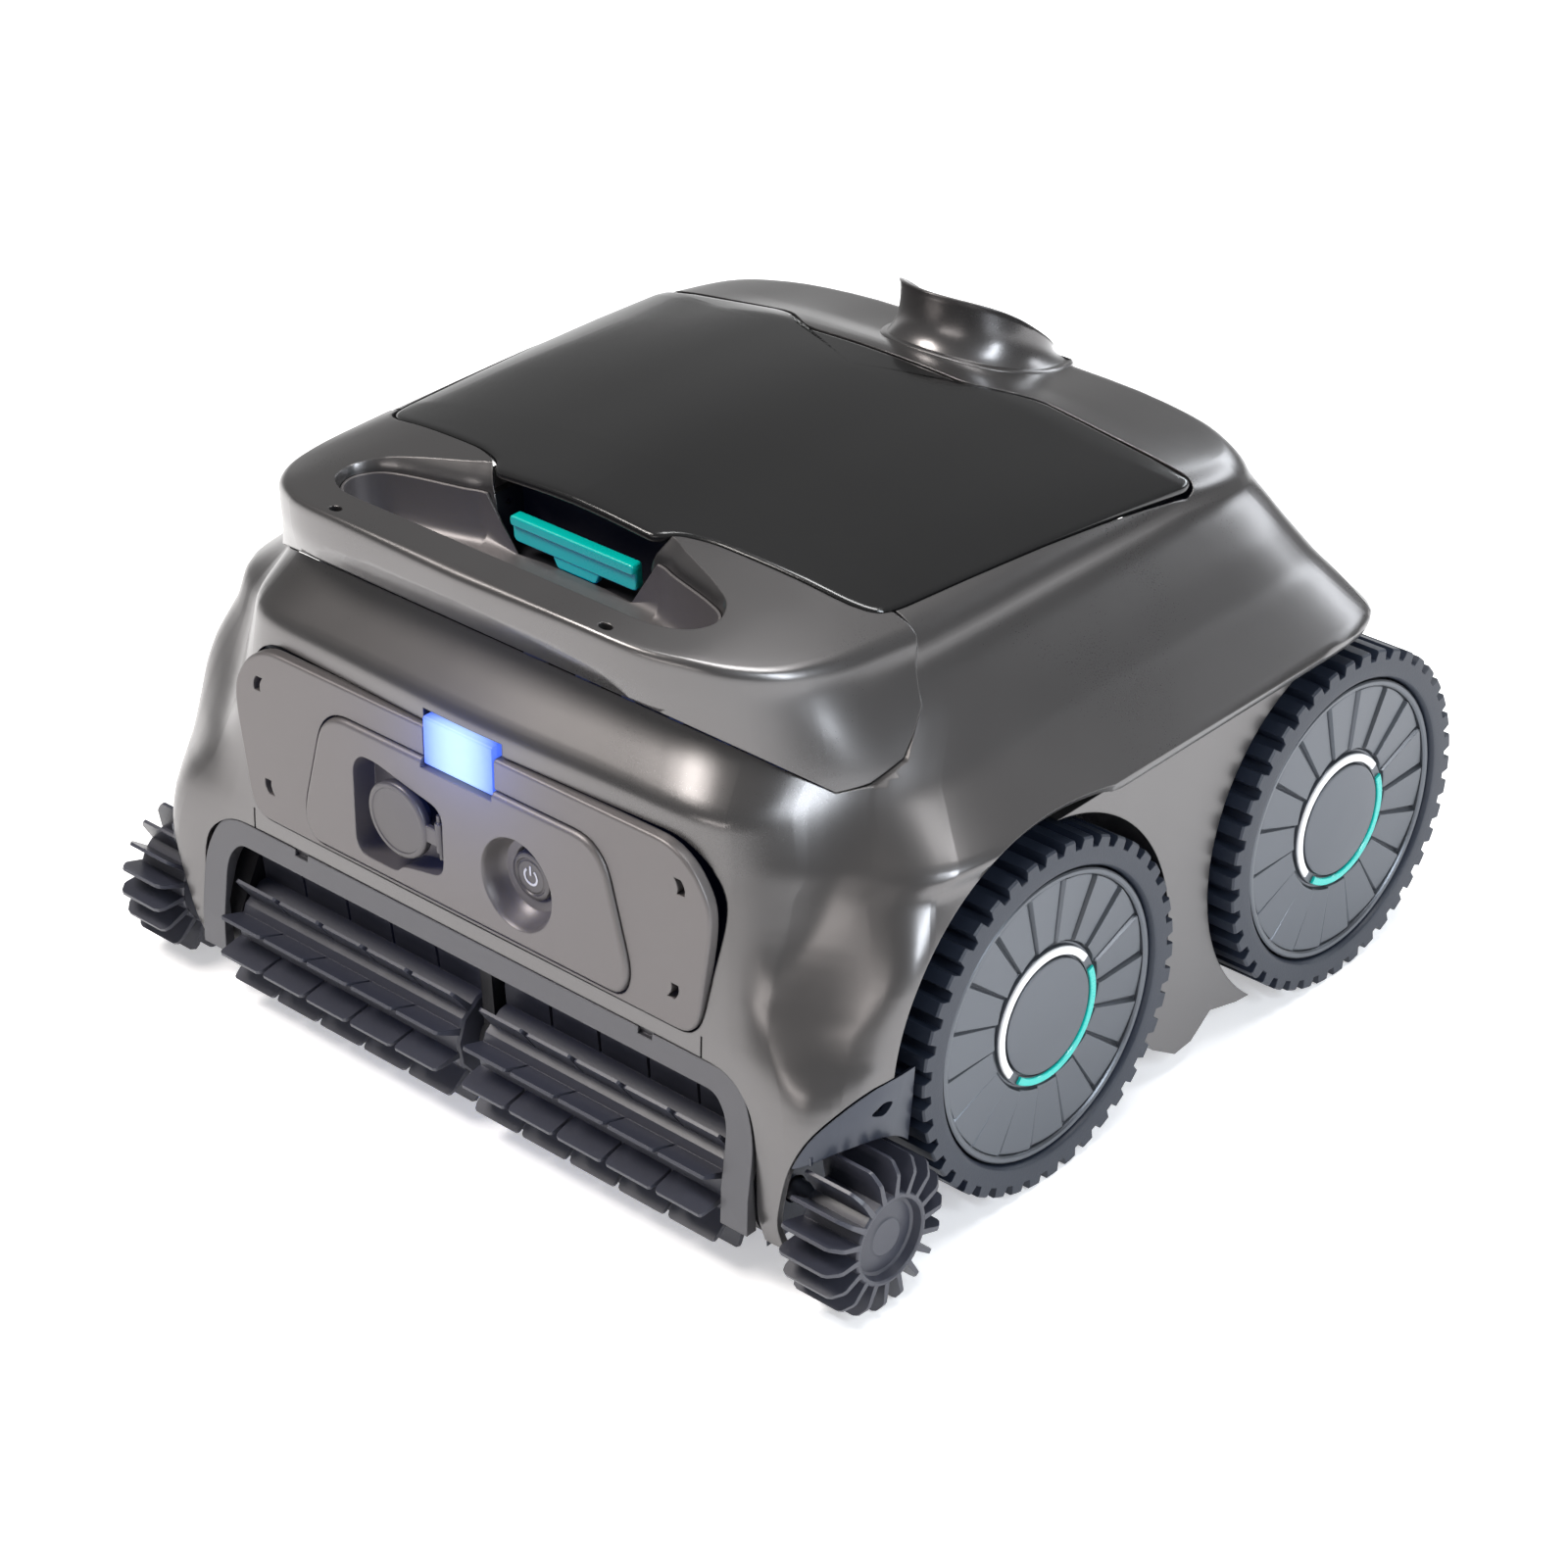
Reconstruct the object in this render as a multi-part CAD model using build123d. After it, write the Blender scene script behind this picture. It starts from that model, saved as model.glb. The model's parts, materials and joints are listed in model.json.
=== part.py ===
from build123d import *
import math
import os

# Cordless four-wheel pool cleaner.  Millimetres, +Z up, front towards -Y,
# origin at the middle of the footprint on the floor.

# ---- driving dimensions -------------------------------------------------
wheel_radius = 78.0            # over the tread lugs
wheel_base = 195.0             # front axle to rear axle
wheel_face = 208.2             # outer face of each wheel from the middle plane
wheel_width = 42.0
rim_radius = 65.8              # edge between hub disc and tyre
cap_radius = 30.3
lug_count = 42
lug_depth = 4.5
brush_lead = 107.7             # roller axis ahead of the front axle
brush_axis_z = 34.5
brush_tip_radius = 34.3
roller_core_radius = 22.0
roller_rows = 12
roller_columns = 5
roller_end = 147.0             # outer end of each roller half
roller_split = 6.0             # inner end of each roller half
blade_thick = 2.0
side_brush_inner = 187.0
side_brush_outer = 217.6
side_drum_radius = 20.0
side_blade_count = 18

wall = 3.0                     # moulded walls
gap = 0.5                      # clearance between neighbouring mouldings
running = 0.05                 # radial clearance of a shaft in its bore
shaft_radius = 5.0
pin_radius = 2.0

tub_half = 163.0               # outer side of the chassis walls
tub_floor = 24.0
tub_top = 158.0
lip_z = 162.0                  # lower edge of the fenders

gear_module = 1.5
gear_near = 152.0              # gear plane of both gear trains
gear_width = 6.0
wheel_teeth = 34
centre_teeth = 98
pinion_teeth = 16
brush_idler_teeth = 52
brush_teeth = 20
backlash = 0.30

lid_gap = 1.5
lid_thick = 2.5
lid_hinge_y = 161.0            # from the front axle
lid_hinge_z = 239.0
nozzle_tilt = 39.5             # slope of the mouth
nozzle_radius = 33.5           # outside of the outlet tube
nozzle_flare = 41.0            # outside of its foot on the deck
nozzle_y = 198.0               # middle of the mouth from the front axle
nozzle_z = 258.5

# ---- places that follow -------------------------------------------------
rear_reach = wheel_base + wheel_radius
front_reach = brush_lead + brush_tip_radius
axle_y = -(rear_reach - front_reach) / 2       # front axle in the part's frame
axle_z = wheel_radius
rear_axle_y = axle_y + wheel_base
brush_y = axle_y - brush_lead
wheel_inner = wheel_face - wheel_width


def pitch_radius(teeth):
    return gear_module * teeth / 2


def tip_radius(teeth):
    return pitch_radius(teeth) + gear_module * 0.95


def side_x(side, x):
    return x if side > 0 else -x


parts = {}


# ---- small solid makers ---------------------------------------------------
def box(x0, x1, y0, y1, z0, z1):
    """Box between two corners; y runs from the front axle."""
    size = (x1 - x0, y1 - y0, z1 - z0)
    middle = ((x0 + x1) / 2, axle_y + (y0 + y1) / 2, (z0 + z1) / 2)
    return Pos(*middle) * Box(*size)


def prism_x(points, x0, x1):
    """Outline of (y from the front axle, z) drawn out along X."""
    ring = Polyline(*[(y + axle_y, z) for y, z in points], close=True)
    face = Plane((min(x0, x1), 0, 0), x_dir=(0, 1, 0), z_dir=(1, 0, 0)) * make_face(ring)
    return extrude(face, abs(x1 - x0))


def prism_y(points, y0, y1):
    """Outline of (x, z) drawn out along Y."""
    plane = Plane((0, axle_y + y1, 0), x_dir=(1, 0, 0), z_dir=(0, -1, 0))
    return extrude(plane * make_face(Polyline(*points, close=True)), y1 - y0)


def prism_z(points, z0, z1):
    """Outline of (x, y from the front axle) drawn out along Z."""
    ring = Polyline(*[(x, y + axle_y) for x, y in points], close=True)
    return extrude(Plane.XY.offset(z0) * make_face(ring), z1 - z0)


def rod_x(y, z, radius, x0, x1):
    """Round bar along X; y from the front axle."""
    plane = Plane((min(x0, x1), axle_y + y, z), x_dir=(0, 1, 0), z_dir=(1, 0, 0))
    return extrude(plane * Circle(radius), abs(x1 - x0))


def rod_y(x, z, radius, y0, y1):
    plane = Plane((x, axle_y + y1, z), x_dir=(1, 0, 0), z_dir=(0, -1, 0))
    return extrude(plane * Circle(radius), y1 - y0)


def rod_z(x, y, radius, z0, z1):
    return extrude(Pos(x, axle_y + y, z0) * Circle(radius), z1 - z0)


def on_side(shape, side):
    """The shape as built on the right, or mirrored to the left."""
    return shape if side > 0 else mirror(shape, Plane.YZ)


def largest(shape):
    """The biggest solid, without the loose slivers a cut can leave."""
    return shape.solids().sort_by(SortBy.VOLUME)[-1]


def both_sides(points):
    """Mirror a half outline, from the front middle to the rear middle."""
    left = [(-x, y) for x, y in reversed(points) if x > 0.01]
    return points + left


def inset(points, distance):
    """Move every edge of a closed anticlockwise outline inwards."""
    moved = []
    count = len(points)
    for i in range(count):
        a, b, c = points[i - 1], points[i], points[(i + 1) % count]
        u = Vector(b[0] - a[0], b[1] - a[1]).normalized()
        v = Vector(c[0] - b[0], c[1] - b[1]).normalized()
        n = Vector(-u.Y, u.X)
        m = Vector(-v.Y, v.X)
        bend = (n + m).normalized()
        reach = distance / max(0.35, bend.dot(n))
        moved.append((b[0] + bend.X * reach, b[1] + bend.Y * reach))
    return moved


def level_loft(levels, shrink=0.0):
    """Stack of (z, half outline) joined by straight walls, moved in by shrink."""
    faces = []
    for z, half in levels:
        ring = inset(both_sides(half), shrink) if shrink else both_sides(half)
        line = Polyline(*[(x, y + axle_y) for x, y in ring], close=True)
        faces.append(Plane.XY.offset(z) * make_face(line))
    return loft(faces, ruled=True)


def top_loft(stations, base, drop=0.0):
    """Everything under the crowned roof, given as (y, half roof line) stations."""
    faces = []
    for y, half in stations:
        roof = [(x, z - drop) for x, z in half]
        left = [(-x, z) for x, z in reversed(roof) if x > 0.01]
        ring = [(230, base)] + [(230, roof[-1][1])] + list(reversed(roof))
        ring += list(reversed(left))[1:] if left and left[0][0] == 0 else list(reversed(left))
        ring += [(-230, roof[-1][1]), (-230, base)]
        plane = Plane((0, axle_y + y, 0), x_dir=(1, 0, 0), z_dir=(0, -1, 0))
        faces.append(plane * make_face(Polyline(*ring, close=True)))
    return loft(faces, ruled=True)


# ---- outer form of the body ----------------------------------------------
# half outlines from the front middle round the corner to the rear middle
body_levels = [
    (34.0, [(0, -128), (150, -128), (176, -131), (190, -126), (198, -104), (198, -60),
            (200, 90), (198, 196), (186, 218), (112, 223), (0, 226)]),
    (62.0, [(0, -125), (150, -125), (176, -131), (190, -130), (202, -108), (202, -60),
            (203, 90), (202, 198), (188, 222), (112, 228), (0, 231)]),
    (92.0, [(0, -124), (138, -124), (166, -127), (190, -126), (206, -102), (206, -60),
            (204, 90), (204, 200), (190, 226), (112, 232), (0, 235)]),
    (112.0, [(0, -123), (134, -122), (156, -120), (172, -118), (207, -94), (208, -60),
             (204, 90), (206, 204), (192, 227), (112, 233), (0, 236)]),
    (138.0, [(0, -121.5), (132, -119), (152, -113), (168, -97), (209, -85), (210, -60),
             (205, 90), (208, 206), (194, 227), (112, 233), (0, 236)]),
    (lip_z, [(0, -119.5), (130, -116), (150, -107), (168, -86), (196, -74), (206, -50),
             (206, 90), (206, 208), (194, 226), (112, 232), (0, 235)]),
    (171.0, [(0, -118.5), (130, -115), (150, -104), (170, -80), (199, -66), (212, -40),
             (212, 90), (212, 200), (200, 223), (112, 231), (0, 234)]),
    (193.0, [(0, -117.5), (128, -113), (146, -100), (160, -70), (176, -50), (184, -20),
             (185, 90), (186, 186), (178, 213), (112, 226), (0, 229)]),
    (210.0, [(0, -101), (120, -97), (142, -80), (158, -50), (166, -30), (171, 0),
             (171, 90), (172, 180), (164, 206), (112, 223), (0, 227)]),
    (226.0, [(0, -88), (112, -86), (140, -72), (152, -50), (155, -30), (157, 0),
             (157, 90), (156, 172), (150, 200), (112, 221), (0, 225)]),
    (272.0, [(0, -88), (108, -86), (134, -72), (146, -50), (148, -30), (149, 0),
             (150, 90), (148, 166), (144, 194), (112, 215), (0, 218)]),
]
# roof lines across the body: (x, z) from the middle outwards
roof_stations = [
    (-150.0, [(0, 257.0), (60, 257.0), (110, 252.0), (138, 243.0), (160, 234.0)]),
    (-93.0, [(0, 257.5), (60, 257.5), (110, 254.0), (140, 246.5), (160, 238.0)]),
    (-40.0, [(0, 264.5), (50, 261.5), (100, 256.0), (140, 247.5), (160, 238.0)]),
    (50.0, [(0, 267.0), (60, 263.0), (110, 256.0), (147, 244.5), (160, 238.0)]),
    (138.0, [(0, 260.0), (60, 257.0), (110, 249.0), (152, 240.0), (160, 235.0)]),
    (175.0, [(0, 247.0), (60, 246.0), (110, 242.0), (150, 236.0), (160, 232.0)]),
    (245.0, [(0, 228.0), (60, 228.0), (110, 226.0), (150, 223.0), (160, 221.0)]),
]
body_outer = level_loft(body_levels) & top_loft(roof_stations, 20)
body_inner = level_loft(body_levels, wall) & top_loft(roof_stations, 10, wall)

# ---- handle bridge --------------------------------------------------------
handle_low = [(0, -104), (95, -103), (130, -94), (150, -82), (161, -66), (164, -14)]
handle_high = [(0, -115), (92, -114), (124, -100), (142, -80), (150, -54), (153, -14)]
handle_side = [(-118, 251), (-114.5, 245), (-109.5, 231), (-69, 196.5), (-56, 197), (-40, 202),
               (-24, 216), (-15, 240), (-15, 275), (-118, 275)]
lid_rear_y = 157.5
tongue_y = -49.0
lid_half = [(0, tongue_y), (45.3, tongue_y), (52, -41), (66, -36), (128, -27), (138, -22), (141, -14),
            (153, 152), (151, lid_rear_y), (72, lid_rear_y - 3), (47, 137), (0, 136)]
recess = [(0, -93), (85, -93), (100, -87), (105, -76), (98, -64), (84, -59), (60, -53), (52, -50), (0, -50)]


def recess_block(z0, z1, grow=0.0):
    ring = both_sides(recess)
    ring = inset(ring, -grow) if grow else ring
    return prism_z(ring, z0, z1)


def plan_face(z, half):
    ring = [(x, y + axle_y) for x, y in both_sides(half)]
    return Plane.XY.offset(z) * make_face(Polyline(*ring, close=True))


handle_plan = loft([
    plan_face(190, handle_low),
    plan_face(245, handle_high),
    plan_face(272, handle_high),
], ruled=True)
handle_solid = handle_plan & prism_x(handle_side, -170, 170) & top_loft(roof_stations, 20)
lid_cut = prism_z(inset(both_sides(lid_half), -lid_gap), 200, 290)
handle_keep = [(y - gap if y < -100 else y, z - gap) for y, z in handle_side[1:6]]
handle_keep += [(-24 + gap, 216), (-15 + gap, 240), (-15 + gap, 300), (-125, 300), (-125, 245)]
handle_core = prism_z(inset(both_sides(handle_low), 5.0), 180, 280) & top_loft(roof_stations, 20, wall)
neck_y = -88.0                 # back of the grip bar's solid part
handle_bridge = handle_solid - (handle_core & box(-200, 200, neck_y, 0, 150, 290))
handle_bridge = handle_bridge - lid_cut - recess_block(200, 290) - recess_block(200, 236, 3.0 + gap)
handle_bridge = handle_bridge + (recess_block(236, 290, 3.0) - recess_block(200, 300)
                                 - box(-52, 52, -70, 0, 200, 300)) & handle_solid - lid_cut
for side in (-1, 1):
    handle_bridge = handle_bridge - rod_z(side_x(side, 77.3), -107.2, 2.6, 240, 270)

# ---- recess tray under the grip --------------------------------------------
tray_floor = 226.0
recess_tray = recess_block(tray_floor - wall, 236 - gap, 3.0) - recess_block(tray_floor, 300)
latch_gap = prism_x(handle_side, -48, 48) & box(-48, 48, -60, -40, tray_floor + 2, 300)
recess_tray = recess_tray - latch_gap

# ---- upper shell: deck, flanks, fenders, front fascia ------------------------
arch_radius = wheel_radius + 14.0
panel_low, panel_high = 99.0, 183.0
panel_half = 141.0
fascia_back = -88.0            # behind this the flanks stop at the fender lip
frame_top = 91.5
rear_cover_y = 214.0

shell = body_outer - body_inner
shell = shell - prism_x(handle_keep, -200, 200) - lid_cut - prism_z(
    [(-49, 130), (49, 130), (49, 140), (-49, 140)], 245, 290)
shell = shell - recess_block(200, 300, 4.0)
shell = shell - box(-230, 230, fascia_back, 260, 0, lip_z)
shell = shell - box(-230, 230, rear_cover_y, 260, 0, lip_z + 55)
foot_side = [(-150, 0), (-150, 33), (-133, 34), (-132, 79), (-119, 93), (-103, 98), (-80, 96), (-80, 0)]
shell = shell - prism_x(foot_side, 176, 230) - prism_x(foot_side, -230, -176)
for side in (-1, 1):
    shell = shell - rod_x(0, axle_z, arch_radius, side_x(side, tub_half - 4), side_x(side, 230))
frame_window = [(-166, 0), (-166, 70), (-158, 88), (-146, frame_top), (146, frame_top), (158, 88),
                (166, 70), (166, 0)]
shell = shell - prism_y(frame_window, -160, -60)
panel_ring = [(-118, panel_high), (-131, 176), (-140, 163), (-panel_half, 150), (-134, 106), (-127, panel_low),
              (127, panel_low), (134, 106), (panel_half, 150), (140, 163), (131, 176), (118, panel_high)]


def panel_block(y0, y1, grow=0.0):
    ring = inset(panel_ring, grow) if grow else panel_ring
    return prism_y(ring, y0, y1)


shell = shell - panel_block(-150, -60)
led_half = 20.0
led_low, led_high = 165.0, 187.0
shell = shell - box(-led_half - 3, led_half + 3, -150, -60, led_low - 3, led_high + 1)
shell = shell - rod_z(0, nozzle_y, nozzle_flare + gap, 180, 300)
lug_x = 113.0
lug_half = 3.5
for side in (-1, 1):
    x = side_x(side, lug_x)
    shell = shell - box(x - lug_half - 1, x + lug_half + 1, 150, lid_hinge_y + 7, lid_hinge_z - 8, 260)
    for step in (-1, 1):
        ear = x + step * (lug_half + 3.5)
        ear_solid = prism_x([(lid_hinge_y - 1, 231), (lid_hinge_y + 10, 231), (lid_hinge_y + 12, 243.5),
                             (lid_hinge_y - 1, 243.5)], ear - 2, ear + 2)
        shell = shell + (ear_solid & body_outer)
    shell = shell - rod_x(lid_hinge_y, lid_hinge_z, pin_radius, x - 12, x + 12)
shell = largest(shell)
parts["upper_shell"] = shell
parts["handle_bridge"] = handle_bridge
parts["recess_tray"] = recess_tray

# ---- outlet nozzle over the pump -----------------------------------------------
pump_y = 187.0
nozzle_back = 222.5
nozzle_base = 205.0
nozzle_tube = rod_z(0, nozzle_y, nozzle_radius, nozzle_base, 300)
flare = Pos(0, axle_y + nozzle_y, 0) * loft([
    Plane.XY.offset(232) * Circle(nozzle_flare), Plane.XY.offset(248) * Circle(nozzle_flare - 1),
    Plane.XY.offset(257) * Circle(nozzle_radius)], ruled=True)
slope = math.tan(math.radians(nozzle_tilt))
mouth_keep = prism_x([(nozzle_y - 60, 150), (nozzle_back, 150),
                      (nozzle_back, nozzle_z - (nozzle_back - nozzle_y) * slope),
                      (nozzle_y - 60, nozzle_z + 60 * slope)], -60, 60)
nozzle_duct = rod_z(0, nozzle_y, nozzle_radius - wall, 190, 300)
nozzle_duct = nozzle_duct & box(-60, 60, 100, nozzle_back - 2.5, 190, 300)
parts["outlet_nozzle"] = largest(((nozzle_tube + flare) & mouth_keep) - nozzle_duct)

# ---- front panel, island, lamp, button, charging port -----------------------------
panel_face = [(-118.5, 190), (-124.5, 90)]


def front_y(z, proud=0.0):
    """Face of the front panel at height z, moved forward by proud."""
    (y0, z0), (y1, z1) = panel_face
    return y0 + (z0 - z) * (y1 - y0) / (z0 - z1) - proud


def front_slab(z0, z1, proud, depth):
    """Slab lying in the tilted front face, for cutting panel pieces out of."""
    return prism_x([(front_y(z0, proud), z0), (front_y(z1, proud), z1),
                    (front_y(z1, proud) + depth, z1), (front_y(z0, proud) + depth, z0)], -200, 200)


island_ring = [(-74, 168), (-84, 160), (-97, 115), (-92, 103), (92, 103), (97, 115), (84, 160), (74, 168)]
charge_x, charge_z = -36.0, 134.0
charge_radius = 17.5
button_x, button_z = 34.0, 131.0
button_radius = 11.0
button_well = 19.5
button_travel = 1.5
panel = front_slab(90, 195, 1.0, 7.0) & panel_block(-150, -60, gap)
island_cut = prism_y(inset(island_ring, 4.0), -160, -60)
panel = panel - island_cut - box(-led_half - 1, led_half + 1, -150, -60, led_low - 1, led_high + 4)
for side in (-1, 1):
    for x, z in ((123.5, 161.8), (119.7, 113.9)):
        panel = panel - rod_y(side_x(side, x), z, 2.2, -150, -60)
        panel = panel - rod_y(side_x(side, x), z + 6, 2.2, -150, -60)
        px = side_x(side, x)
        panel = panel - box(px - 2.2, px + 2.2, -150, -60, z, z + 6)
parts["front_panel"] = largest(panel)

island_skin = front_slab(90, 195, 3.0, 2.0) & prism_y(island_ring, -150, -60)
island_body = front_slab(90, 195, 1.0, 16.0) & prism_y(inset(island_ring, 4.3), -150, -60)
port = (charge_x - 27, charge_x + 27, charge_z - 25, charge_z + 22)
port_floor = front_y(charge_z) + 9
cap_front = front_y(charge_z, 4.0)
cap_thick = 5.0
plug_radius = 7.2
cap_barrel = 2.0
cap_pin = 1.0
cap_hinge_x = charge_x + charge_radius + 6.0
cap_pivot_y = front_y(charge_z, 1.0)
island = island_skin + island_body
island = island - box(port[0], port[1], -150, port_floor, port[2], port[3])
island = island - rod_y(charge_x, charge_z, 12.0, -150, -60)
for step in (-1, 1):
    low = charge_z + min(step * 7.5, step * 10.5)
    ear = box(cap_hinge_x - cap_barrel, port[1] + 1, cap_pivot_y - cap_barrel, port_floor + 1, low, low + 3)
    island = island + ear - rod_z(cap_hinge_x, cap_pivot_y, cap_pin + running, low - 1, low + 4)
island = island - rod_y(button_x, button_z, button_well, -150, front_y(button_z) + 8)
island = island - rod_y(button_x, button_z, button_radius + 0.3, -150, -60)
island = island - box(-led_half - 1, led_half + 1, -150, -60, led_low - 1, led_high + 4)
parts["panel_island"] = largest(island)

lens = front_slab(led_low, led_high, 1.2, 6.0) & box(-led_half, led_half, -150, -60, led_low, led_high)
parts["led_lens"] = lens

socket = rod_y(charge_x, charge_z, 11.5, port_floor - 1, port_floor + 24)
socket = socket - rod_y(charge_x, charge_z, 8.5, port_floor - 2, port_floor + 17)
for k in range(3):
    spot = k * 120
    sx = charge_x + 4 * math.cos(math.radians(spot))
    sz = charge_z + 4 * math.sin(math.radians(spot))
    socket = socket + rod_y(sx, sz, 1.0, port_floor + 6, port_floor + 18)
parts["charge_socket"] = socket

cap = rod_y(charge_x, charge_z, charge_radius, cap_front, cap_front + cap_thick)
cap = cap + rod_y(charge_x, charge_z, plug_radius, cap_front, port_floor)
cap = cap + box(charge_x, cap_hinge_x, cap_front + 1, cap_front + 3.5, charge_z - 4, charge_z + 4)
cap = cap + rod_z(cap_hinge_x, cap_pivot_y, cap_barrel, charge_z - 7, charge_z + 7)
cap = cap + rod_z(cap_hinge_x, cap_pivot_y, cap_pin, charge_z - 10.5, charge_z + 10.5)
parts["charge_cap"] = cap

button = rod_y(button_x, button_z, button_radius, front_y(button_z) + 5, front_y(button_z) + 22)
parts["power_button"] = button

# ---- roller frame and centre bracket ------------------------------------------------
frame_outer = [(-165, 10), (-165, 69), (-157, 87), (-145.5, frame_top - gap), (145.5, frame_top - gap),
               (157, 87), (165, 69), (165, 10)]
frame_inner = [(-150.5, 0), (-150.5, 72), (-143, 80.5), (143, 80.5), (150.5, 72), (150.5, 0)]
frame_skin = [(-135, 26), (-133.7, 42), (-124.3, frame_top - gap), (-70, frame_top - gap), (-70, 80.5),
              (-118, 80.5), (-129.6, 50), (-129.6, 26)]
frame = prism_y(frame_outer, -140, -60) - prism_y(frame_inner, -142, -50)
frame = frame & prism_x(frame_skin, -170, 170)
for side in (-1, 1):
    frame = frame - on_side(box(146.5, 170, -112, -50, 70, 95), side)
notch = box(99, 107, -130, -122, 87, 92)
frame = frame - notch - box(-107, -99, -130, -122, 87, 92)
parts["roller_frame"] = largest(frame)

bracket = box(-3.5, 3.5, -116, -76, 30, 80.5) + rod_x(-brush_lead, brush_axis_z, 12, -3.5, 3.5)
bracket = bracket - rod_x(-brush_lead, brush_axis_z, shaft_radius + running, -5, 5)
parts["centre_bracket"] = bracket + box(-14, 14, -100, -76, 76, 80.5)

# ---- gears --------------------------------------------------------------------------
def involute(base, roll):
    """Point of the involute of a circle, as (radius, angle in radians)."""
    return base * math.hypot(1, roll), roll - math.atan(roll)


def gear_outline(teeth, first_tooth):
    """Closed outline of a spur gear; first_tooth is the angle of one tooth, in degrees."""
    pitch = pitch_radius(teeth)
    tip = tip_radius(teeth)
    root = pitch - gear_module * 1.25
    base = pitch * math.cos(math.radians(20))
    half = math.pi / (2 * teeth) - backlash / (2 * pitch)
    lean = involute(base, math.tan(math.radians(20)))[1]
    flank = []
    low = max(base, root)
    for k in range(5):
        radius = low + (tip - low) * k / 4
        roll = math.sqrt(max(0.0, (radius / base) ** 2 - 1))
        flank.append((radius, half + lean - involute(base, roll)[1]))
    points = []
    for tooth in range(teeth):
        middle = math.radians(first_tooth) + tooth * 2 * math.pi / teeth
        side = [(root, half + lean)] + flank if root < base else flank
        for radius, away in side:
            points.append((radius * math.cos(middle - away), radius * math.sin(middle - away)))
        for radius, away in reversed(side):
            points.append((radius * math.cos(middle + away), radius * math.sin(middle + away)))
    return points


def gear(teeth, y, z, first_tooth, x0, x1):
    """Spur gear with its axis along X; y from the front axle."""
    return prism_x([(y + u, z + v) for u, v in gear_outline(teeth, first_tooth)], x0, x1)


def mesh_phase(driver_phase, driver_teeth, teeth, direction):
    """Angle of a tooth of the next gear, so that it meshes; direction is towards it."""
    step = 360.0 / driver_teeth
    off = (driver_phase - direction) % step
    return direction + 180 - off * driver_teeth / teeth + 180.0 / teeth


def circle_meeting(a, ra, b, rb, side):
    """Centre that is ra from a and rb from b, on the chosen side of the line a-b."""
    reach = math.dist(a, b)
    along = (ra ** 2 - rb ** 2 + reach ** 2) / (2 * reach)
    across = side * math.sqrt(ra ** 2 - along ** 2)
    ux, uy = (b[0] - a[0]) / reach, (b[1] - a[1]) / reach
    return a[0] + ux * along - uy * across, a[1] + uy * along + ux * across


def heading(a, b):
    return math.degrees(math.atan2(b[1] - a[1], b[0] - a[0]))


front_axis = (0.0, axle_z)
rear_axis = (wheel_base, axle_z)
brush_axis = (-brush_lead, brush_axis_z)
centre_axis = circle_meeting(front_axis, pitch_radius(wheel_teeth + centre_teeth),
                             rear_axis, pitch_radius(wheel_teeth + centre_teeth), 1)
idler_axis = circle_meeting(front_axis, pitch_radius(wheel_teeth + brush_idler_teeth),
                            brush_axis, pitch_radius(brush_idler_teeth + brush_teeth), -1)
pinion_heading = 20.0
pinion_reach = pitch_radius(centre_teeth + pinion_teeth)
pinion_axis = (centre_axis[0] + pinion_reach * math.cos(math.radians(pinion_heading)),
               centre_axis[1] + pinion_reach * math.sin(math.radians(pinion_heading)))
front_phase = 0.0
centre_phase = mesh_phase(front_phase, wheel_teeth, centre_teeth, heading(front_axis, centre_axis))
rear_phase = mesh_phase(centre_phase, centre_teeth, wheel_teeth, heading(centre_axis, rear_axis))
pinion_phase = mesh_phase(centre_phase, centre_teeth, pinion_teeth, pinion_heading)
idler_phase = mesh_phase(front_phase, wheel_teeth, brush_idler_teeth, heading(front_axis, idler_axis))
brush_phase = mesh_phase(idler_phase, brush_idler_teeth, brush_teeth, heading(idler_axis, brush_axis))

stub_radius = 3.0
gear_far = gear_near + gear_width
cover_near = 147.5
cover_thick = 2.5
case_wall = 2.7
tooth_gap = 1.5


def hull_x(circles, x0, x1):
    """Hull of circles (y from the front axle, z, radius) drawn out along X."""
    rims = [(Pos(y + axle_y, z) * Circle(radius)).edge() for y, z, radius in circles]
    return extrude(Plane((x0, 0, 0), x_dir=(0, 1, 0), z_dir=(1, 0, 0)) * make_hull(rims), x1 - x0)


def gear_case(grow, x0, x1):
    """Block round both gear trains, standing off the tooth tips by grow."""
    train = ((front_axis, wheel_teeth), (centre_axis, centre_teeth), (rear_axis, wheel_teeth),
             (pinion_axis, pinion_teeth))
    lead = ((front_axis, wheel_teeth), (idler_axis, brush_idler_teeth), (brush_axis, brush_teeth))
    blocks = [hull_x([(y, z, tip_radius(teeth) + grow) for (y, z), teeth in chain], x0, x1)
              for chain in (train, lead)]
    return blocks[0] + blocks[1]


case_grow = tooth_gap + case_wall

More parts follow.
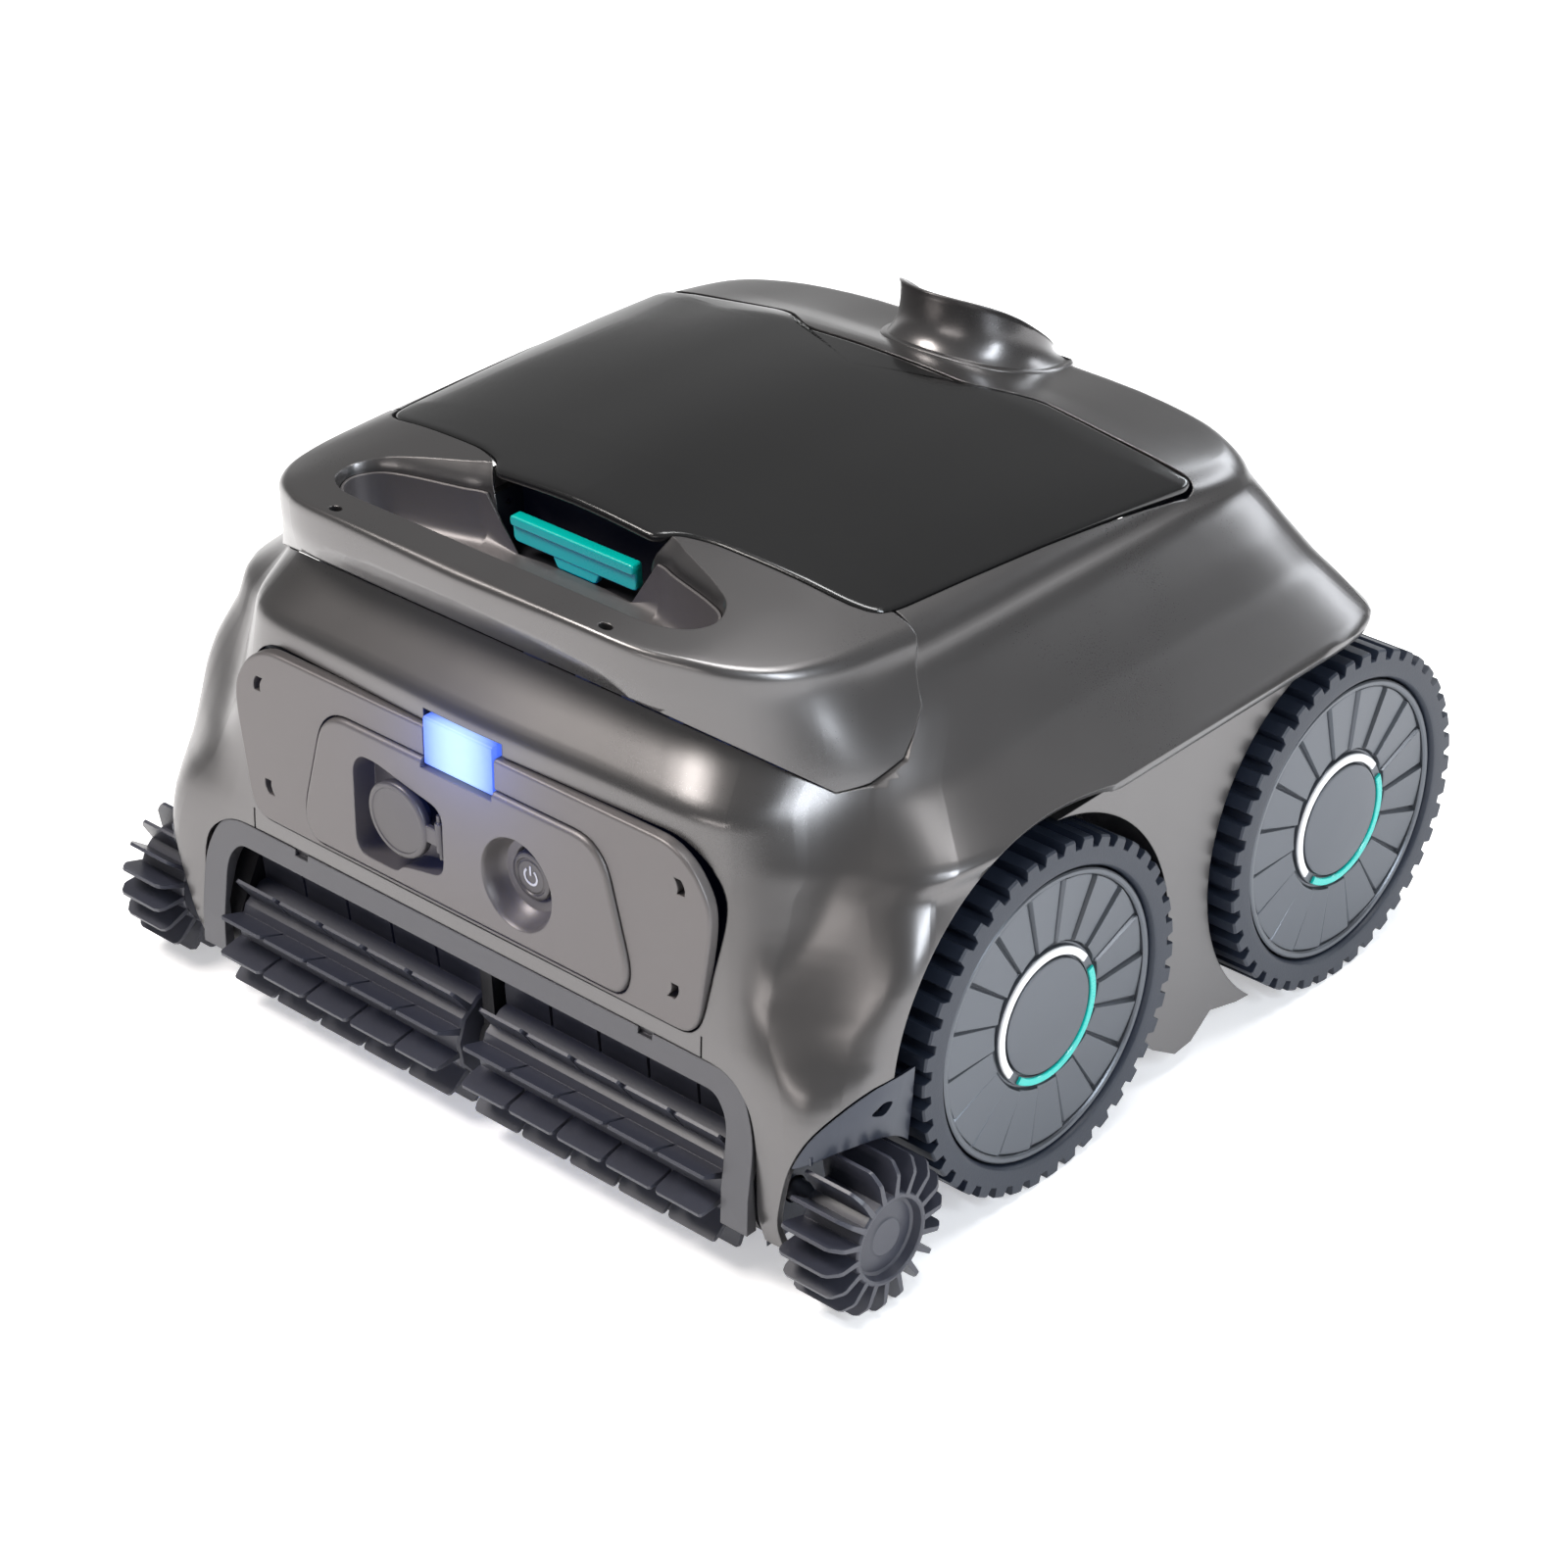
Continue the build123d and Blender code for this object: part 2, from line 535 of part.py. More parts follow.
side_names = {1: "right", -1: "left"}
for side, label in side_names.items():
    wheels = (("front", front_axis, front_phase), ("rear", rear_axis, rear_phase))
    for place, (wy, wz), phase in wheels:
        lugs = []
        for k in range(lug_count):
            start = 360.0 / lug_count * (k - 0.31)
            for turn, radius in ((0.0, wheel_radius), (0.31, wheel_radius), (0.62, wheel_radius),
                                 (0.62, wheel_radius - lug_depth), (1.0, wheel_radius - lug_depth)):
                t = math.radians(start + turn * 360.0 / lug_count - 90)
                lugs.append((wy + radius * math.cos(t), wz + radius * math.sin(t)))
        tyre = prism_x(lugs, wheel_inner, wheel_face) - rod_x(wy, wz, rim_radius, 100, 230)
        parts[f"{place}_{label}_tyre"] = on_side(tyre, side)
        disc = rod_x(wy, wz, rim_radius, wheel_face - 9, wheel_face - 2)
        rim = rod_x(wy, wz, rim_radius, wheel_inner + 1, wheel_face - 3)
        rim = rim - rod_x(wy, wz, rim_radius - 4, 100, 230)
        boss = rod_x(wy, wz, 12, wheel_inner, wheel_face - 4) + rod_x(wy, wz, cap_radius, wheel_face - 5,
                                                                     wheel_face - 0.5)
        hub = disc + rim + boss - rod_x(wy, wz, cap_radius - 7, wheel_face - 1.5, wheel_face + 1)
        for k in range(18):
            rib = Pos(wheel_face - 2, axle_y + wy, wz) * Rot(k * 20.0, 0, 0)
            hub = hub + rib * (Pos(0, 48, 0) * Box(1.2, 30, 1.6))
        hub = hub - rod_x(wy, wz, shaft_radius, 100, wheel_face - 8)
        parts[f"{place}_{label}_hub"] = on_side(hub, side)
        shaft = rod_x(wy, wz, shaft_radius, cover_near + 0.5, wheel_face - 8)
        wheel_gear = gear(wheel_teeth, wy, wz, phase, gear_near, gear_far)
        for k in range(6):
            t = math.radians(k * 60)
            wheel_gear = wheel_gear - rod_x(wy + 28 * math.cos(t), wz + 28 * math.sin(t), 9, 140, 170)
        parts[f"{place}_{label}_wheel_gear"] = on_side(shaft + wheel_gear, side)

    idle = ((f"{label}_centre_gear", centre_teeth, centre_axis, centre_phase),
            (f"{label}_brush_idler", brush_idler_teeth, idler_axis, idler_phase))
    for name, teeth, (gy, gz), phase in idle:
        idler = gear(teeth, gy, gz, phase, gear_near, gear_far)
        idler = idler - rod_x(gy, gz, stub_radius + running, 140, 170)
        parts[name] = on_side(idler, side)
    pinion = gear(pinion_teeth, *pinion_axis, pinion_phase, gear_near, gear_far)
    pinion = pinion + rod_x(*pinion_axis, stub_radius, 128, gear_far + 0.5)
    parts[f"{label}_drive_pinion"] = on_side(pinion, side)

    motor = rod_x(*pinion_axis, 17, 84, 141) + rod_x(*pinion_axis, 10, 141, 146.5)
    motor = motor - rod_x(*pinion_axis, stub_radius + running, 127, 150)
    parts[f"{label}_drive_motor"] = on_side(motor, side)

    cover = gear_case(case_grow, cover_near, tub_half - wall - gap)
    cover = cover - gear_case(tooth_gap, cover_near + cover_thick, tub_half)
    cover = cover - rod_x(*pinion_axis, 10.5, 140, 151) - rod_x(*brush_axis, shaft_radius + 1, 140, 170)
    for gy, gz in (front_axis, rear_axis):
        cover = cover - rod_x(gy, gz, shaft_radius + running, 140, 151)
    for gy, gz in (centre_axis, idler_axis):
        cover = cover + rod_x(gy, gz, stub_radius, cover_near, gear_far + 1)
    parts[f"{label}_gear_cover"] = on_side(cover, side)

# ---- chassis tub -------------------------------------------------------------------------
side_plate = gear_case(case_grow, tub_half - wall, tub_half)
tub_front, tub_back = -68.0, 221.0
floor_ring = both_sides([(0, tub_front), (cover_near - gap, tub_front), (cover_near - gap, tub_back),
                         (0, tub_back)])
tub = prism_z(floor_ring, tub_floor, tub_floor + wall)
tub = tub + (prism_z(floor_ring, tub_floor, tub_top) - prism_z(inset(floor_ring, wall), tub_floor, 300))
for side in (-1, 1):
    plate = on_side(side_plate, side)
    for wy, wz in (front_axis, rear_axis):
        plate = plate - rod_x(wy, wz, shaft_radius + running, -200, 200)
    plate = plate - rod_x(*brush_axis, shaft_radius + running, -200, 200)
    parts[f"{side_names[side]}_side_plate"] = plate
slot_half, slot_front, slot_back = 60.0, 22.0, 57.0
tub = tub - box(-slot_half, slot_half, slot_front, slot_back, 0, 40)
for side in (-1, 1):
    tub = tub - on_side(rod_x(*pinion_axis, 18, 80, 170), side)
parts["chassis_tub"] = tub

# ---- rear cover --------------------------------------------------------------
rear = (body_outer - body_inner) & box(-230, 230, rear_cover_y + gap, 260, 60, lip_z + 55 - gap)
rear = rear - rod_z(0, nozzle_y, nozzle_radius + gap, nozzle_base - gap, 240)
for side in (-1, 1):
    rear = rear - on_side(gear_case(case_grow + gap, cover_near - gap, tub_half + gap), side)
    rear = rear - on_side(box(tub_half, 230, 190, 260, 0, 160), side)
grille_pitch = 9.0
for row in range(6):
    z = 112 + row * grille_pitch
    rear = rear - box(-60, 60, 220, 250, z, z + 4)
parts["rear_cover"] = largest(rear)

# ---- tub fittings: screws, suction plate and flap ---------------------------------------
screw_radius = 1.5
screw_spots = [(x, y) for x in (-125, 125) for y in (-55, 15, 75)] + [(-125, 212), (125, 212)]
screws = None
for x, y in screw_spots:
    screw = rod_z(x, y, 3.0, tub_floor - 2, tub_floor) + rod_z(x, y, screw_radius, tub_floor, tub_floor + 12)
    screws = screw if screws is None else screws + screw
    tub = tub - rod_z(x, y, screw_radius + running, 20, 30)
parts["chassis_tub"] = tub
parts["cover_screws"] = screws

flap_y, flap_z = 51.5, 31.0
flap_radius = 1.5
plate = box(-75, 75, 10, 64, tub_floor - 4, tub_floor) - box(-56, 56, 26, 48, 10, 40)
plate = plate - box(-90, 90, 8, 20, tub_floor - 5, tub_floor - 2.5)
for side in (-1, 1):
    ear = box(57.5, 59.7, 46, 56, tub_floor - 1, 34.5) - rod_x(flap_y, flap_z, flap_radius + running, 50, 70)
    plate = plate + on_side(ear, side)
parts["intake_plate"] = plate
flap = box(-57, 57, 24.5, flap_y, 29.2, 30.8) + rod_x(flap_y, flap_z, flap_radius, -59.5, 59.5)
parts["inlet_flap"] = flap

# ---- sealed motor box, pump, battery and board -------------------------------------------
box_x, box_front, box_back, box_top = 118.0, 130.0, 217.5, 150.0
collar_radius = 30.5
impeller_low, impeller_high = 172.0, 186.0
motor_box = box(-box_x, box_x, box_front, box_back, tub_floor + wall, box_top)
motor_box = motor_box - box(-box_x + wall, box_x - wall, box_front + wall, box_back - wall,
                            tub_floor + 2 * wall, box_top - wall)
collar = rod_z(0, pump_y, collar_radius, box_top, nozzle_base - gap)
collar = collar - rod_z(0, pump_y, collar_radius - wall, box_top, 300)
collar = collar - box(-18, 18, 100, pump_y, box_top + 2, impeller_low - 4)
motor_box = motor_box + collar - rod_z(0, pump_y, 3.0 + running, 100, 160)
for side in (-1, 1):
    motor_box = motor_box - on_side(rod_x(*pinion_axis, 18.5, 80, 170), side)
parts["motor_box"] = largest(motor_box)
pump = rod_z(0, pump_y, 22, tub_floor + 2 * wall, 132) + rod_z(0, pump_y, 12, 132, 140)
parts["pump_motor"] = pump - rod_z(0, pump_y, 3.0 + running, 104, 145)
impeller = rod_z(0, pump_y, 3.0, 105, impeller_high) + rod_z(0, pump_y, 9.0, impeller_low, impeller_high)
for k in range(4):
    blade = Pos(0, axle_y + pump_y, (impeller_low + impeller_high) / 2) * Rot(0, 0, 90 * k)
    impeller = impeller + blade * Pos(15, 0, 0) * Rot(35, 0, 0) * Box(18, 15, 1.6)
parts["pump_impeller"] = impeller & rod_z(0, pump_y, collar_radius - wall - 1, 90, 200)
battery = box(-110, -30, 137, 208, tub_floor + 2 * wall, 100)
parts["battery_pack"] = battery
board = box(30, 110, 140, 208, tub_floor + 2 * wall, tub_floor + 2 * wall + 2)
for k in range(3):
    board = board + box(36 + 24 * k, 52 + 24 * k, 150, 166 + 8 * k, tub_floor + 2 * wall + 2, tub_floor + 16)
parts["control_board"] = board

# ---- filter basket ----------------------------------------------------------------------------
basket_x, basket_front, basket_back = 78.0, -12.0, 122.0
basket_low, basket_top = 70.0, 228.0
basket = box(-basket_x, basket_x, basket_front, basket_back, basket_low, basket_top)
basket = basket - box(-basket_x + 2, basket_x - 2, basket_front + 2, basket_back - 2, basket_low + 2, 300)
basket = basket - box(-57, 57, 22, 54, 60, 80)
for k in range(4):
    y = basket_front + 12 + k * 30
    basket = basket - box(-90, 90, y, y + 22, basket_low + 18, basket_top - 30)
for k in range(5):
    x = -66 + k * 28
    basket = basket - box(x, x + 20, basket_front - 5, basket_back + 5, basket_low + 18, basket_top - 30)
parts["filter_basket"] = basket

# ---- lid: smoked window on an inner frame, hinged at the back -------------------------------------
roof = top_loft(roof_stations, 20)
under_glass = top_loft(roof_stations, 20, lid_thick)
lid_block = prism_z(both_sides(lid_half), 200, 290)
thin_edge = 1.2                # the rear rim is thin, so that it swings clear of the deck
rear_strip = top_loft(roof_stations, 20, thin_edge) & box(-160, 160, 140, 160, 200, 290)
parts["lid_window"] = largest((lid_block & roof) - under_glass - rear_strip)
ring = prism_z([(-124, -14), (124, -14), (137, 132), (-137, 132)], 200, 290)
ring = ring - prism_z([(-110, 2), (110, 2), (120, 118), (-120, 118)], 190, 300)
ring = ring + prism_z([(-40, -46), (40, -46), (40, -10), (-40, -10)], 200, 290)
frame_low = top_loft(roof_stations, 20, lid_thick + 4)
lid_frame = (ring & under_glass) - frame_low
lug_side = [(118, 238), (118, 262), (154, 262), (163.5, 241), (163.5, 236.8), (150, 237)]
for side in (-1, 1):
    lug = prism_x(lug_side, lug_x - lug_half, lug_x + lug_half) & under_glass
    lug = lug + rod_x(lid_hinge_y, lid_hinge_z, pin_radius - running, lug_x - 6, lug_x + 6)
    lid_frame = lid_frame + on_side(lug, side)
parts["lid_frame"] = lid_frame

# ---- lid latch in its pocket under the tongue -------------------------------------------------------
latch_y, latch_z = -40.0, 243.0
latch_pin = 1.5
pocket = box(-52, 52, -50, -29, tray_floor - wall, 249) - box(-48, 48, -60, -32, tray_floor, 260)
pocket = pocket - rod_x(latch_y, latch_z, latch_pin + running, -60, 60)
tray = parts["recess_tray"] - box(-48, 48, -60, -45, tray_floor, 300) + pocket
parts["recess_tray"] = tray
latch = box(-35.5, 35.5, -50, -46, 231.5, 246) + box(-12.5, 12.5, -50, -46, tray_floor + 1.5, 232)
latch = latch + box(-35.5, 35.5, -50, latch_y, 241, 245) + rod_x(latch_y, latch_z, latch_pin, -51, 51)
latch = latch + rod_x(latch_y, latch_z, 3.0, -35.5, 35.5)
parts["lid_latch"] = latch

# ---- rollers, side brushes and their shafts ------------------------------------------------------------


def bladed(core, tip, blades, thick, first):
    """Outline of a bladed roller: round core with straight blades standing out."""
    half = thick / 2
    points = []
    for k in range(blades):
        t = math.radians(first + 360.0 * k / blades)
        foot = math.asin(half / core)
        ux, uz = math.cos(t), math.sin(t)
        points.append((core * math.cos(t - foot), core * math.sin(t - foot)))
        points.append((tip * ux + half * uz, tip * uz - half * ux))
        points.append((tip * ux - half * uz, tip * uz + half * ux))
        points.append((core * math.cos(t + foot), core * math.sin(t + foot)))
        nxt = math.radians(first + 360.0 * (k + 0.5) / blades)
        points.append((core * math.cos(nxt), core * math.sin(nxt)))
    return [(u - brush_lead, v + brush_axis_z) for u, v in points]


slit = 1.2
column = (roller_end - roller_split - slit * (roller_columns - 1)) / roller_columns
for side, label in side_names.items():
    roller = rod_x(*brush_axis, roller_core_radius, roller_split, roller_end)
    star = bladed(roller_core_radius - 1, brush_tip_radius, roller_rows, blade_thick, 0)
    for k in range(roller_columns):
        start = roller_split + k * (column + slit)
        roller = roller + prism_x(star, start, start + column)
    roller = roller - rod_x(*brush_axis, shaft_radius, 0, 200)
    parts[f"{label}_roller"] = on_side(roller, side)
    shaft = rod_x(*brush_axis, shaft_radius, 0.5, side_brush_outer - 6)
    brush_gear = gear(brush_teeth, *brush_axis, brush_phase, gear_near, gear_far)
    parts[f"{label}_brush_shaft"] = on_side(shaft + brush_gear, side)
    drum = prism_x(bladed(side_drum_radius, brush_tip_radius, side_blade_count, 1.6, 10),
                   side_brush_inner, side_brush_outer)
    drum = drum - rod_x(*brush_axis, side_drum_radius - 1.5, side_brush_outer - 5, 230)
    drum = drum - rod_x(*brush_axis, shaft_radius, 100, side_brush_outer - 6)
    parts[f"{label}_side_brush"] = on_side(drum, side)

# ---- brush shrouds and side skirts ------------------------------------------------------------------------
hood_inner = brush_tip_radius + 3.0
skirt_ring = [(8, lip_z - gap), (188, lip_z - gap), (188, 120), (141, 13), (132, 14), (114, 19),
              (101, 10), (90, 9), (75, 19), (8, 120)]
skirt_inner = wheel_radius + 6.5
skirt_high = 200.0
for side, label in side_names.items():
    hood = rod_x(*brush_axis, hood_inner + wall, tub_half, 192) - rod_x(*brush_axis, hood_inner, 100, 230)
    hood = hood & box(100, 230, -131, -84, brush_axis_z + 20, 120)
    back = rod_x(*brush_axis, hood_inner + wall, tub_half, tub_half + wall)
    back = back & box(100, 230, -126, -84, 16, 120)
    shroud = hood + back - rod_x(*brush_axis, shaft_radius + 1, 100, 230)
    shroud = shroud - box(100, tub_half + 2.8, -150, -110, 0, 120) - box(100, 230, -150, -125, 0, 120)
    parts[f"{label}_brush_shroud"] = on_side(largest(shroud), side)

    block = prism_x(skirt_ring, tub_half, skirt_high)
    hollow = prism_x(inset(skirt_ring, -1), tub_half - 1, skirt_high - wall)
    for wy, wz in (front_axis, rear_axis):
        block = block - rod_x(wy, wz, skirt_inner, 100, 230)
        hollow = hollow - rod_x(wy, wz, skirt_inner + wall, 90, 240)
    parts[f"{label}_side_skirt"] = on_side(largest(block - hollow), side)

os.makedirs("parts", exist_ok=True)
for name, shape in parts.items():
    export_step(shape, f"parts/{name}.step")
print(len(parts), "nodes")
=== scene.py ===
import json
import math
import bpy
import bmesh
import numpy as np
from mathutils import Matrix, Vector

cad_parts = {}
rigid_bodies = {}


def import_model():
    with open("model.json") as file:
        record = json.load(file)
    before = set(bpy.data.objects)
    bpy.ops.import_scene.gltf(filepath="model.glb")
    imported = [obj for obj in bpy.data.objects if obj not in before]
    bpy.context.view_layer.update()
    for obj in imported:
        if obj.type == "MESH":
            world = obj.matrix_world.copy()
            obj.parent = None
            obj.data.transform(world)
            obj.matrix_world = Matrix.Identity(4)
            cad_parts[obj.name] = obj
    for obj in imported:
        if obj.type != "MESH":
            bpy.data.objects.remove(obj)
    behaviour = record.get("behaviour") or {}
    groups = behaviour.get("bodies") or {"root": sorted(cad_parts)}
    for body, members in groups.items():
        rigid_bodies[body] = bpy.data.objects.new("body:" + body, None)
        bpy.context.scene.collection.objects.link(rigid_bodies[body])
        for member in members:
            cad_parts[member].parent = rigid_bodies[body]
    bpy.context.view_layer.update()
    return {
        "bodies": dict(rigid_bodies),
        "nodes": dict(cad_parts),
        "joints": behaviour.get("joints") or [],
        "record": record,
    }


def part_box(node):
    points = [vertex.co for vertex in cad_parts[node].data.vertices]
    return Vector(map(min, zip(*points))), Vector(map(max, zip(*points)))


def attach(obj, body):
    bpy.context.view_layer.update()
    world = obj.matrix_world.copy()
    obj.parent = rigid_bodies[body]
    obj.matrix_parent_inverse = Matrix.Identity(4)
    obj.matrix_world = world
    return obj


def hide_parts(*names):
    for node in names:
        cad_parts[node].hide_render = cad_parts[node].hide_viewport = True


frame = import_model()

# places come from the CAD boxes; lengths below are millimetres, y from the front axle
tyreLow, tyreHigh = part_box("front_right_tyre")
axleShift = (tyreLow.y + tyreHigh.y) * 500
axleHeight = (tyreLow.z + tyreHigh.z) * 500
rearLow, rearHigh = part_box("rear_right_tyre")
wheelBase = (rearLow.y + rearHigh.y) * 500 - axleShift
brushLow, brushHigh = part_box("right_side_brush")
brushY = (brushLow.y + brushHigh.y) * 500 - axleShift
brushZ = (brushLow.z + brushHigh.z) * 500


def toFrame(points):
    # millimetres with y from the front axle, to metres in the shared frame
    points = np.asarray(points, float).reshape(-1, 3)
    return (points + [0, axleShift, 0]) / 1000


def steadyCurve(knots, values, where):
    # cubic through the knots whose slope is the harmonic mean of its neighbours, so it never overshoots
    knots = np.asarray(knots, float)
    values = np.asarray(values, float)
    gap = np.diff(knots).reshape((-1,) + (1,) * (values.ndim - 1))
    rise = np.diff(values, axis=0) / gap
    a, b = rise[:-1], rise[1:]
    same = (a * b) > 0
    middle = np.where(same, 2 * a * b / np.where(same, a + b, 1), 0)
    slope = np.concatenate([rise[:1], middle, rise[-1:]])
    where = np.clip(where, knots[0], knots[-1])
    cell = np.clip(np.searchsorted(knots, where, side="right") - 1, 0, len(knots) - 2)
    width = gap[cell]
    t = ((where - knots[cell]) / np.diff(knots)[cell]).reshape((-1,) + (1,) * (values.ndim - 1))
    return ((2 * t**3 - 3 * t**2 + 1) * values[cell] + (t**3 - 2 * t**2 + t) * width * slope[cell]
            + (3 * t**2 - 2 * t**3) * values[cell + 1] + (t**3 - t**2) * width * slope[cell + 1])


def roundedStack(rows, reach, arc=4, straight=1):
    # open polyline of rows, each corner a quadratic curve that starts reach away from it
    rows = np.asarray(rows, float)
    run = np.linalg.norm(np.diff(rows, axis=0), axis=-1, keepdims=True) + 1e-9
    reach = np.asarray(reach, float).reshape((-1,) + (1,) * (rows.ndim - 1))
    back = np.minimum(reach[1:-1], run[:-1] * 0.5) / run[:-1]
    ahead = np.minimum(reach[1:-1], run[1:] * 0.5) / run[1:]
    start = rows[1:-1] + (rows[:-2] - rows[1:-1]) * back
    end = rows[1:-1] + (rows[2:] - rows[1:-1]) * ahead
    t = (np.arange(arc + 1) / arc).reshape((1, -1) + (1,) * (rows.ndim - 1))
    bend = ((1 - t) ** 2 * start[:, None] + 2 * t * (1 - t) * rows[1:-1][:, None] + t**2 * end[:, None])
    pieces = [rows[:1]]
    last = rows[0]
    for k in range(len(bend)):
        for s in range(1, straight):
            pieces.append((last + (bend[k, 0] - last) * s / straight)[None])
        pieces.append(bend[k])
        last = bend[k, -1]
    for s in range(1, straight):
        pieces.append((last + (rows[-1] - last) * s / straight)[None])
    pieces.append(rows[-1:])
    return np.concatenate(pieces)


def roundedRing(corners, reach, arc=5, straight=3):
    # closed outline; the corners are quadratic curves, and the runs between them are split evenly
    corners = np.asarray(corners, float)
    before, after = np.roll(corners, 1, axis=-2), np.roll(corners, -1, axis=-2)
    runBack = np.linalg.norm(before - corners, axis=-1, keepdims=True) + 1e-9
    runAhead = np.linalg.norm(after - corners, axis=-1, keepdims=True) + 1e-9
    reach = np.asarray(reach, float).reshape(-1, 1) if np.ndim(reach) else reach
    start = corners + (before - corners) * np.minimum(reach, runBack * 0.44) / runBack
    end = corners + (after - corners) * np.minimum(reach, runAhead * 0.44) / runAhead
    t = (np.arange(arc + 1) / arc)[:, None]
    bend = ((1 - t) ** 2 * start[..., None, :] + 2 * t * (1 - t) * corners[..., None, :]
            + t**2 * end[..., None, :])
    ahead = np.roll(start, -1, axis=-2)
    s = (np.arange(1, straight) / straight)[:, None]
    run = end[..., None, :] + (ahead - end)[..., None, :] * s
    ring = np.concatenate([bend, run], axis=-2)
    return ring.reshape(corners.shape[:-2] + (-1, corners.shape[-1]))


def bothSides(half):
    # half outline from the front middle to the rear middle, mirrored to a closed one
    half = np.asarray(half, float)
    inner = half[..., 1:-1, :] if abs(half[..., -1, 0]).max() < 0.01 else half[..., 1:, :]
    left = inner[..., ::-1, :] * np.array([-1] + [1] * (half.shape[-1] - 1))
    return np.concatenate([half, left], axis=-2)


def movedIn(ring, distance):
    # each point of an anticlockwise outline moved inwards along its own normal
    before, after = np.roll(ring, 1, axis=-2), np.roll(ring, -1, axis=-2)
    along = after - before
    along = along / (np.linalg.norm(along, axis=-1, keepdims=True) + 1e-9)
    return ring + np.stack([-along[..., 1], along[..., 0]], axis=-1) * distance


def gridFaces(rows, columns, around=True, flip=False):
    # quads of a grid; around joins its last column to its first
    r = np.arange(rows - 1)[:, None]
    c = np.arange(columns if around else columns - 1)[None, :]
    following = (c + 1) % columns
    quads = np.stack([r * columns + c, r * columns + following, (r + 1) * columns + following,
                      (r + 1) * columns + c], axis=-1).reshape(-1, 4)
    return quads[:, ::-1] if flip else quads


def newMesh(name, points, faces):
    mesh = bpy.data.meshes.new(name)
    mesh.from_pydata(toFrame(points).tolist(), [], [list(map(int, f)) for f in faces])
    piece = bpy.data.objects.new(name, mesh)
    bpy.context.scene.collection.objects.link(piece)
    return piece


def tidyMesh(piece, merge=0.00002, turn=True):
    # doubles merged and faces turned outwards, for a closed mesh
    work = bmesh.new()
    work.from_mesh(piece.data)
    bmesh.ops.remove_doubles(work, verts=work.verts, dist=merge)
    bmesh.ops.dissolve_degenerate(work, dist=merge / 4, edges=work.edges)
    if turn:
        bmesh.ops.recalc_face_normals(work, faces=work.faces)
        if work.calc_volume(signed=True) < 0:
            bmesh.ops.reverse_faces(work, faces=work.faces)
    work.to_mesh(piece.data)
    work.free()
    return piece


def softEdges(piece, angle=32):
    # smooth faces, with edges sharper than the angle kept hard
    mesh = piece.data
    mesh.polygons.foreach_set("use_smooth", np.ones(len(mesh.polygons), bool))
    mesh.set_sharp_from_angle(angle=math.radians(angle))
    return piece


def applied(piece):
    # the modifiers made part of the mesh
    bpy.context.view_layer.update()
    mesh = bpy.data.meshes.new_from_object(piece.evaluated_get(bpy.context.evaluated_depsgraph_get()))
    piece.modifiers.clear()
    piece.data = mesh
    return piece


def carved(piece, tools, how="DIFFERENCE"):
    # every tool taken away from the piece, or kept in common with it, one after another
    for tool in tools:
        step = piece.modifiers.new("carve", "BOOLEAN")
        step.operation = how
        step.solver = "MANIFOLD"
        step.object = tool
        applied(piece)
        bpy.data.objects.remove(tool)
    return piece


def bevelled(piece, width, angle):
    # edges sharper than the angle rounded in two steps
    step = piece.modifiers.new("edge", "BEVEL")
    step.width = width / 1000
    step.segments = 2
    step.limit_method = "ANGLE"
    step.angle_limit = math.radians(angle)
    return applied(piece)


def closedStack(name, rings):
    # solid from a stack of closed rings, with flat ends
    rings = np.asarray(rings, float)
    rows, columns = rings.shape[:2]
    faces = gridFaces(rows, columns).tolist()
    faces.append(list(range(columns))[::-1])
    faces.append([(rows - 1) * columns + c for c in range(columns)])
    return tidyMesh(newMesh(name, rings.reshape(-1, 3), faces))


def slabAlong(name, axis, outline, low, high, edge=0.0):
    # outline in the two other axes drawn along X, Y or Z, its rims rounded by edge
    outline = np.asarray(outline, float)
    area = np.sum(outline[:, 0] * np.roll(outline[:, 1], -1) - np.roll(outline[:, 0], -1) * outline[:, 1])
    outline = outline if area > 0 else outline[::-1]
    if edge:
        turn = np.radians([0, 30, 60, 90])
        ins = np.concatenate([edge * (1 - np.sin(turn)), edge * (1 - np.sin(turn))[::-1]])
        out = np.concatenate([low + edge * (1 - np.cos(turn)), high - edge * (1 - np.cos(turn))[::-1]])
    else:
        ins, out = np.zeros(2), np.array([low, high])
    rings = []
    for d, h in zip(ins, out):
        flat = movedIn(outline, d)
        rings.append(np.insert(flat, {"X": 0, "Y": 1, "Z": 2}[axis], h, axis=1))
    return closedStack(name, rings)


def turned(name, axisY, axisZ, profile, steps=72, first=0.0):
    # profile of (x, radius) turned about an axis along X
    profile = np.asarray(profile, float)
    t = np.radians(first) + np.arange(steps) * 2 * math.pi / steps
    x = np.repeat(profile[:, :1], steps, axis=1)
    y = axisY + profile[:, 1:2] * np.cos(t)
    z = axisZ + profile[:, 1:2] * np.sin(t)
    return closedStack(name, np.stack([x, y, z], axis=-1))


def blockOf(name, x0, x1, y0, y1, z0, z1, edge=0.0):
    return slabAlong(name, "Z", [(x0, y0), (x1, y0), (x1, y1), (x0, y1)], z0, z1, edge)


def mirrored(piece, name):
    # the same piece on the other side of the middle plane
    mesh = piece.data.copy()
    mesh.transform(Matrix.Diagonal((-1, 1, 1, 1)))
    mesh.flip_normals()
    other = bpy.data.objects.new(name, mesh)
    bpy.context.scene.collection.objects.link(other)
    return other


def joined(name, parts):
    # several meshes as one piece
    work = bmesh.new()
    for part in parts:
        work.from_mesh(part.data)
        bpy.data.objects.remove(part)
    mesh = bpy.data.meshes.new(name)
    work.to_mesh(mesh)
    work.free()
    piece = bpy.data.objects.new(name, mesh)
    bpy.context.scene.collection.objects.link(piece)
    return piece


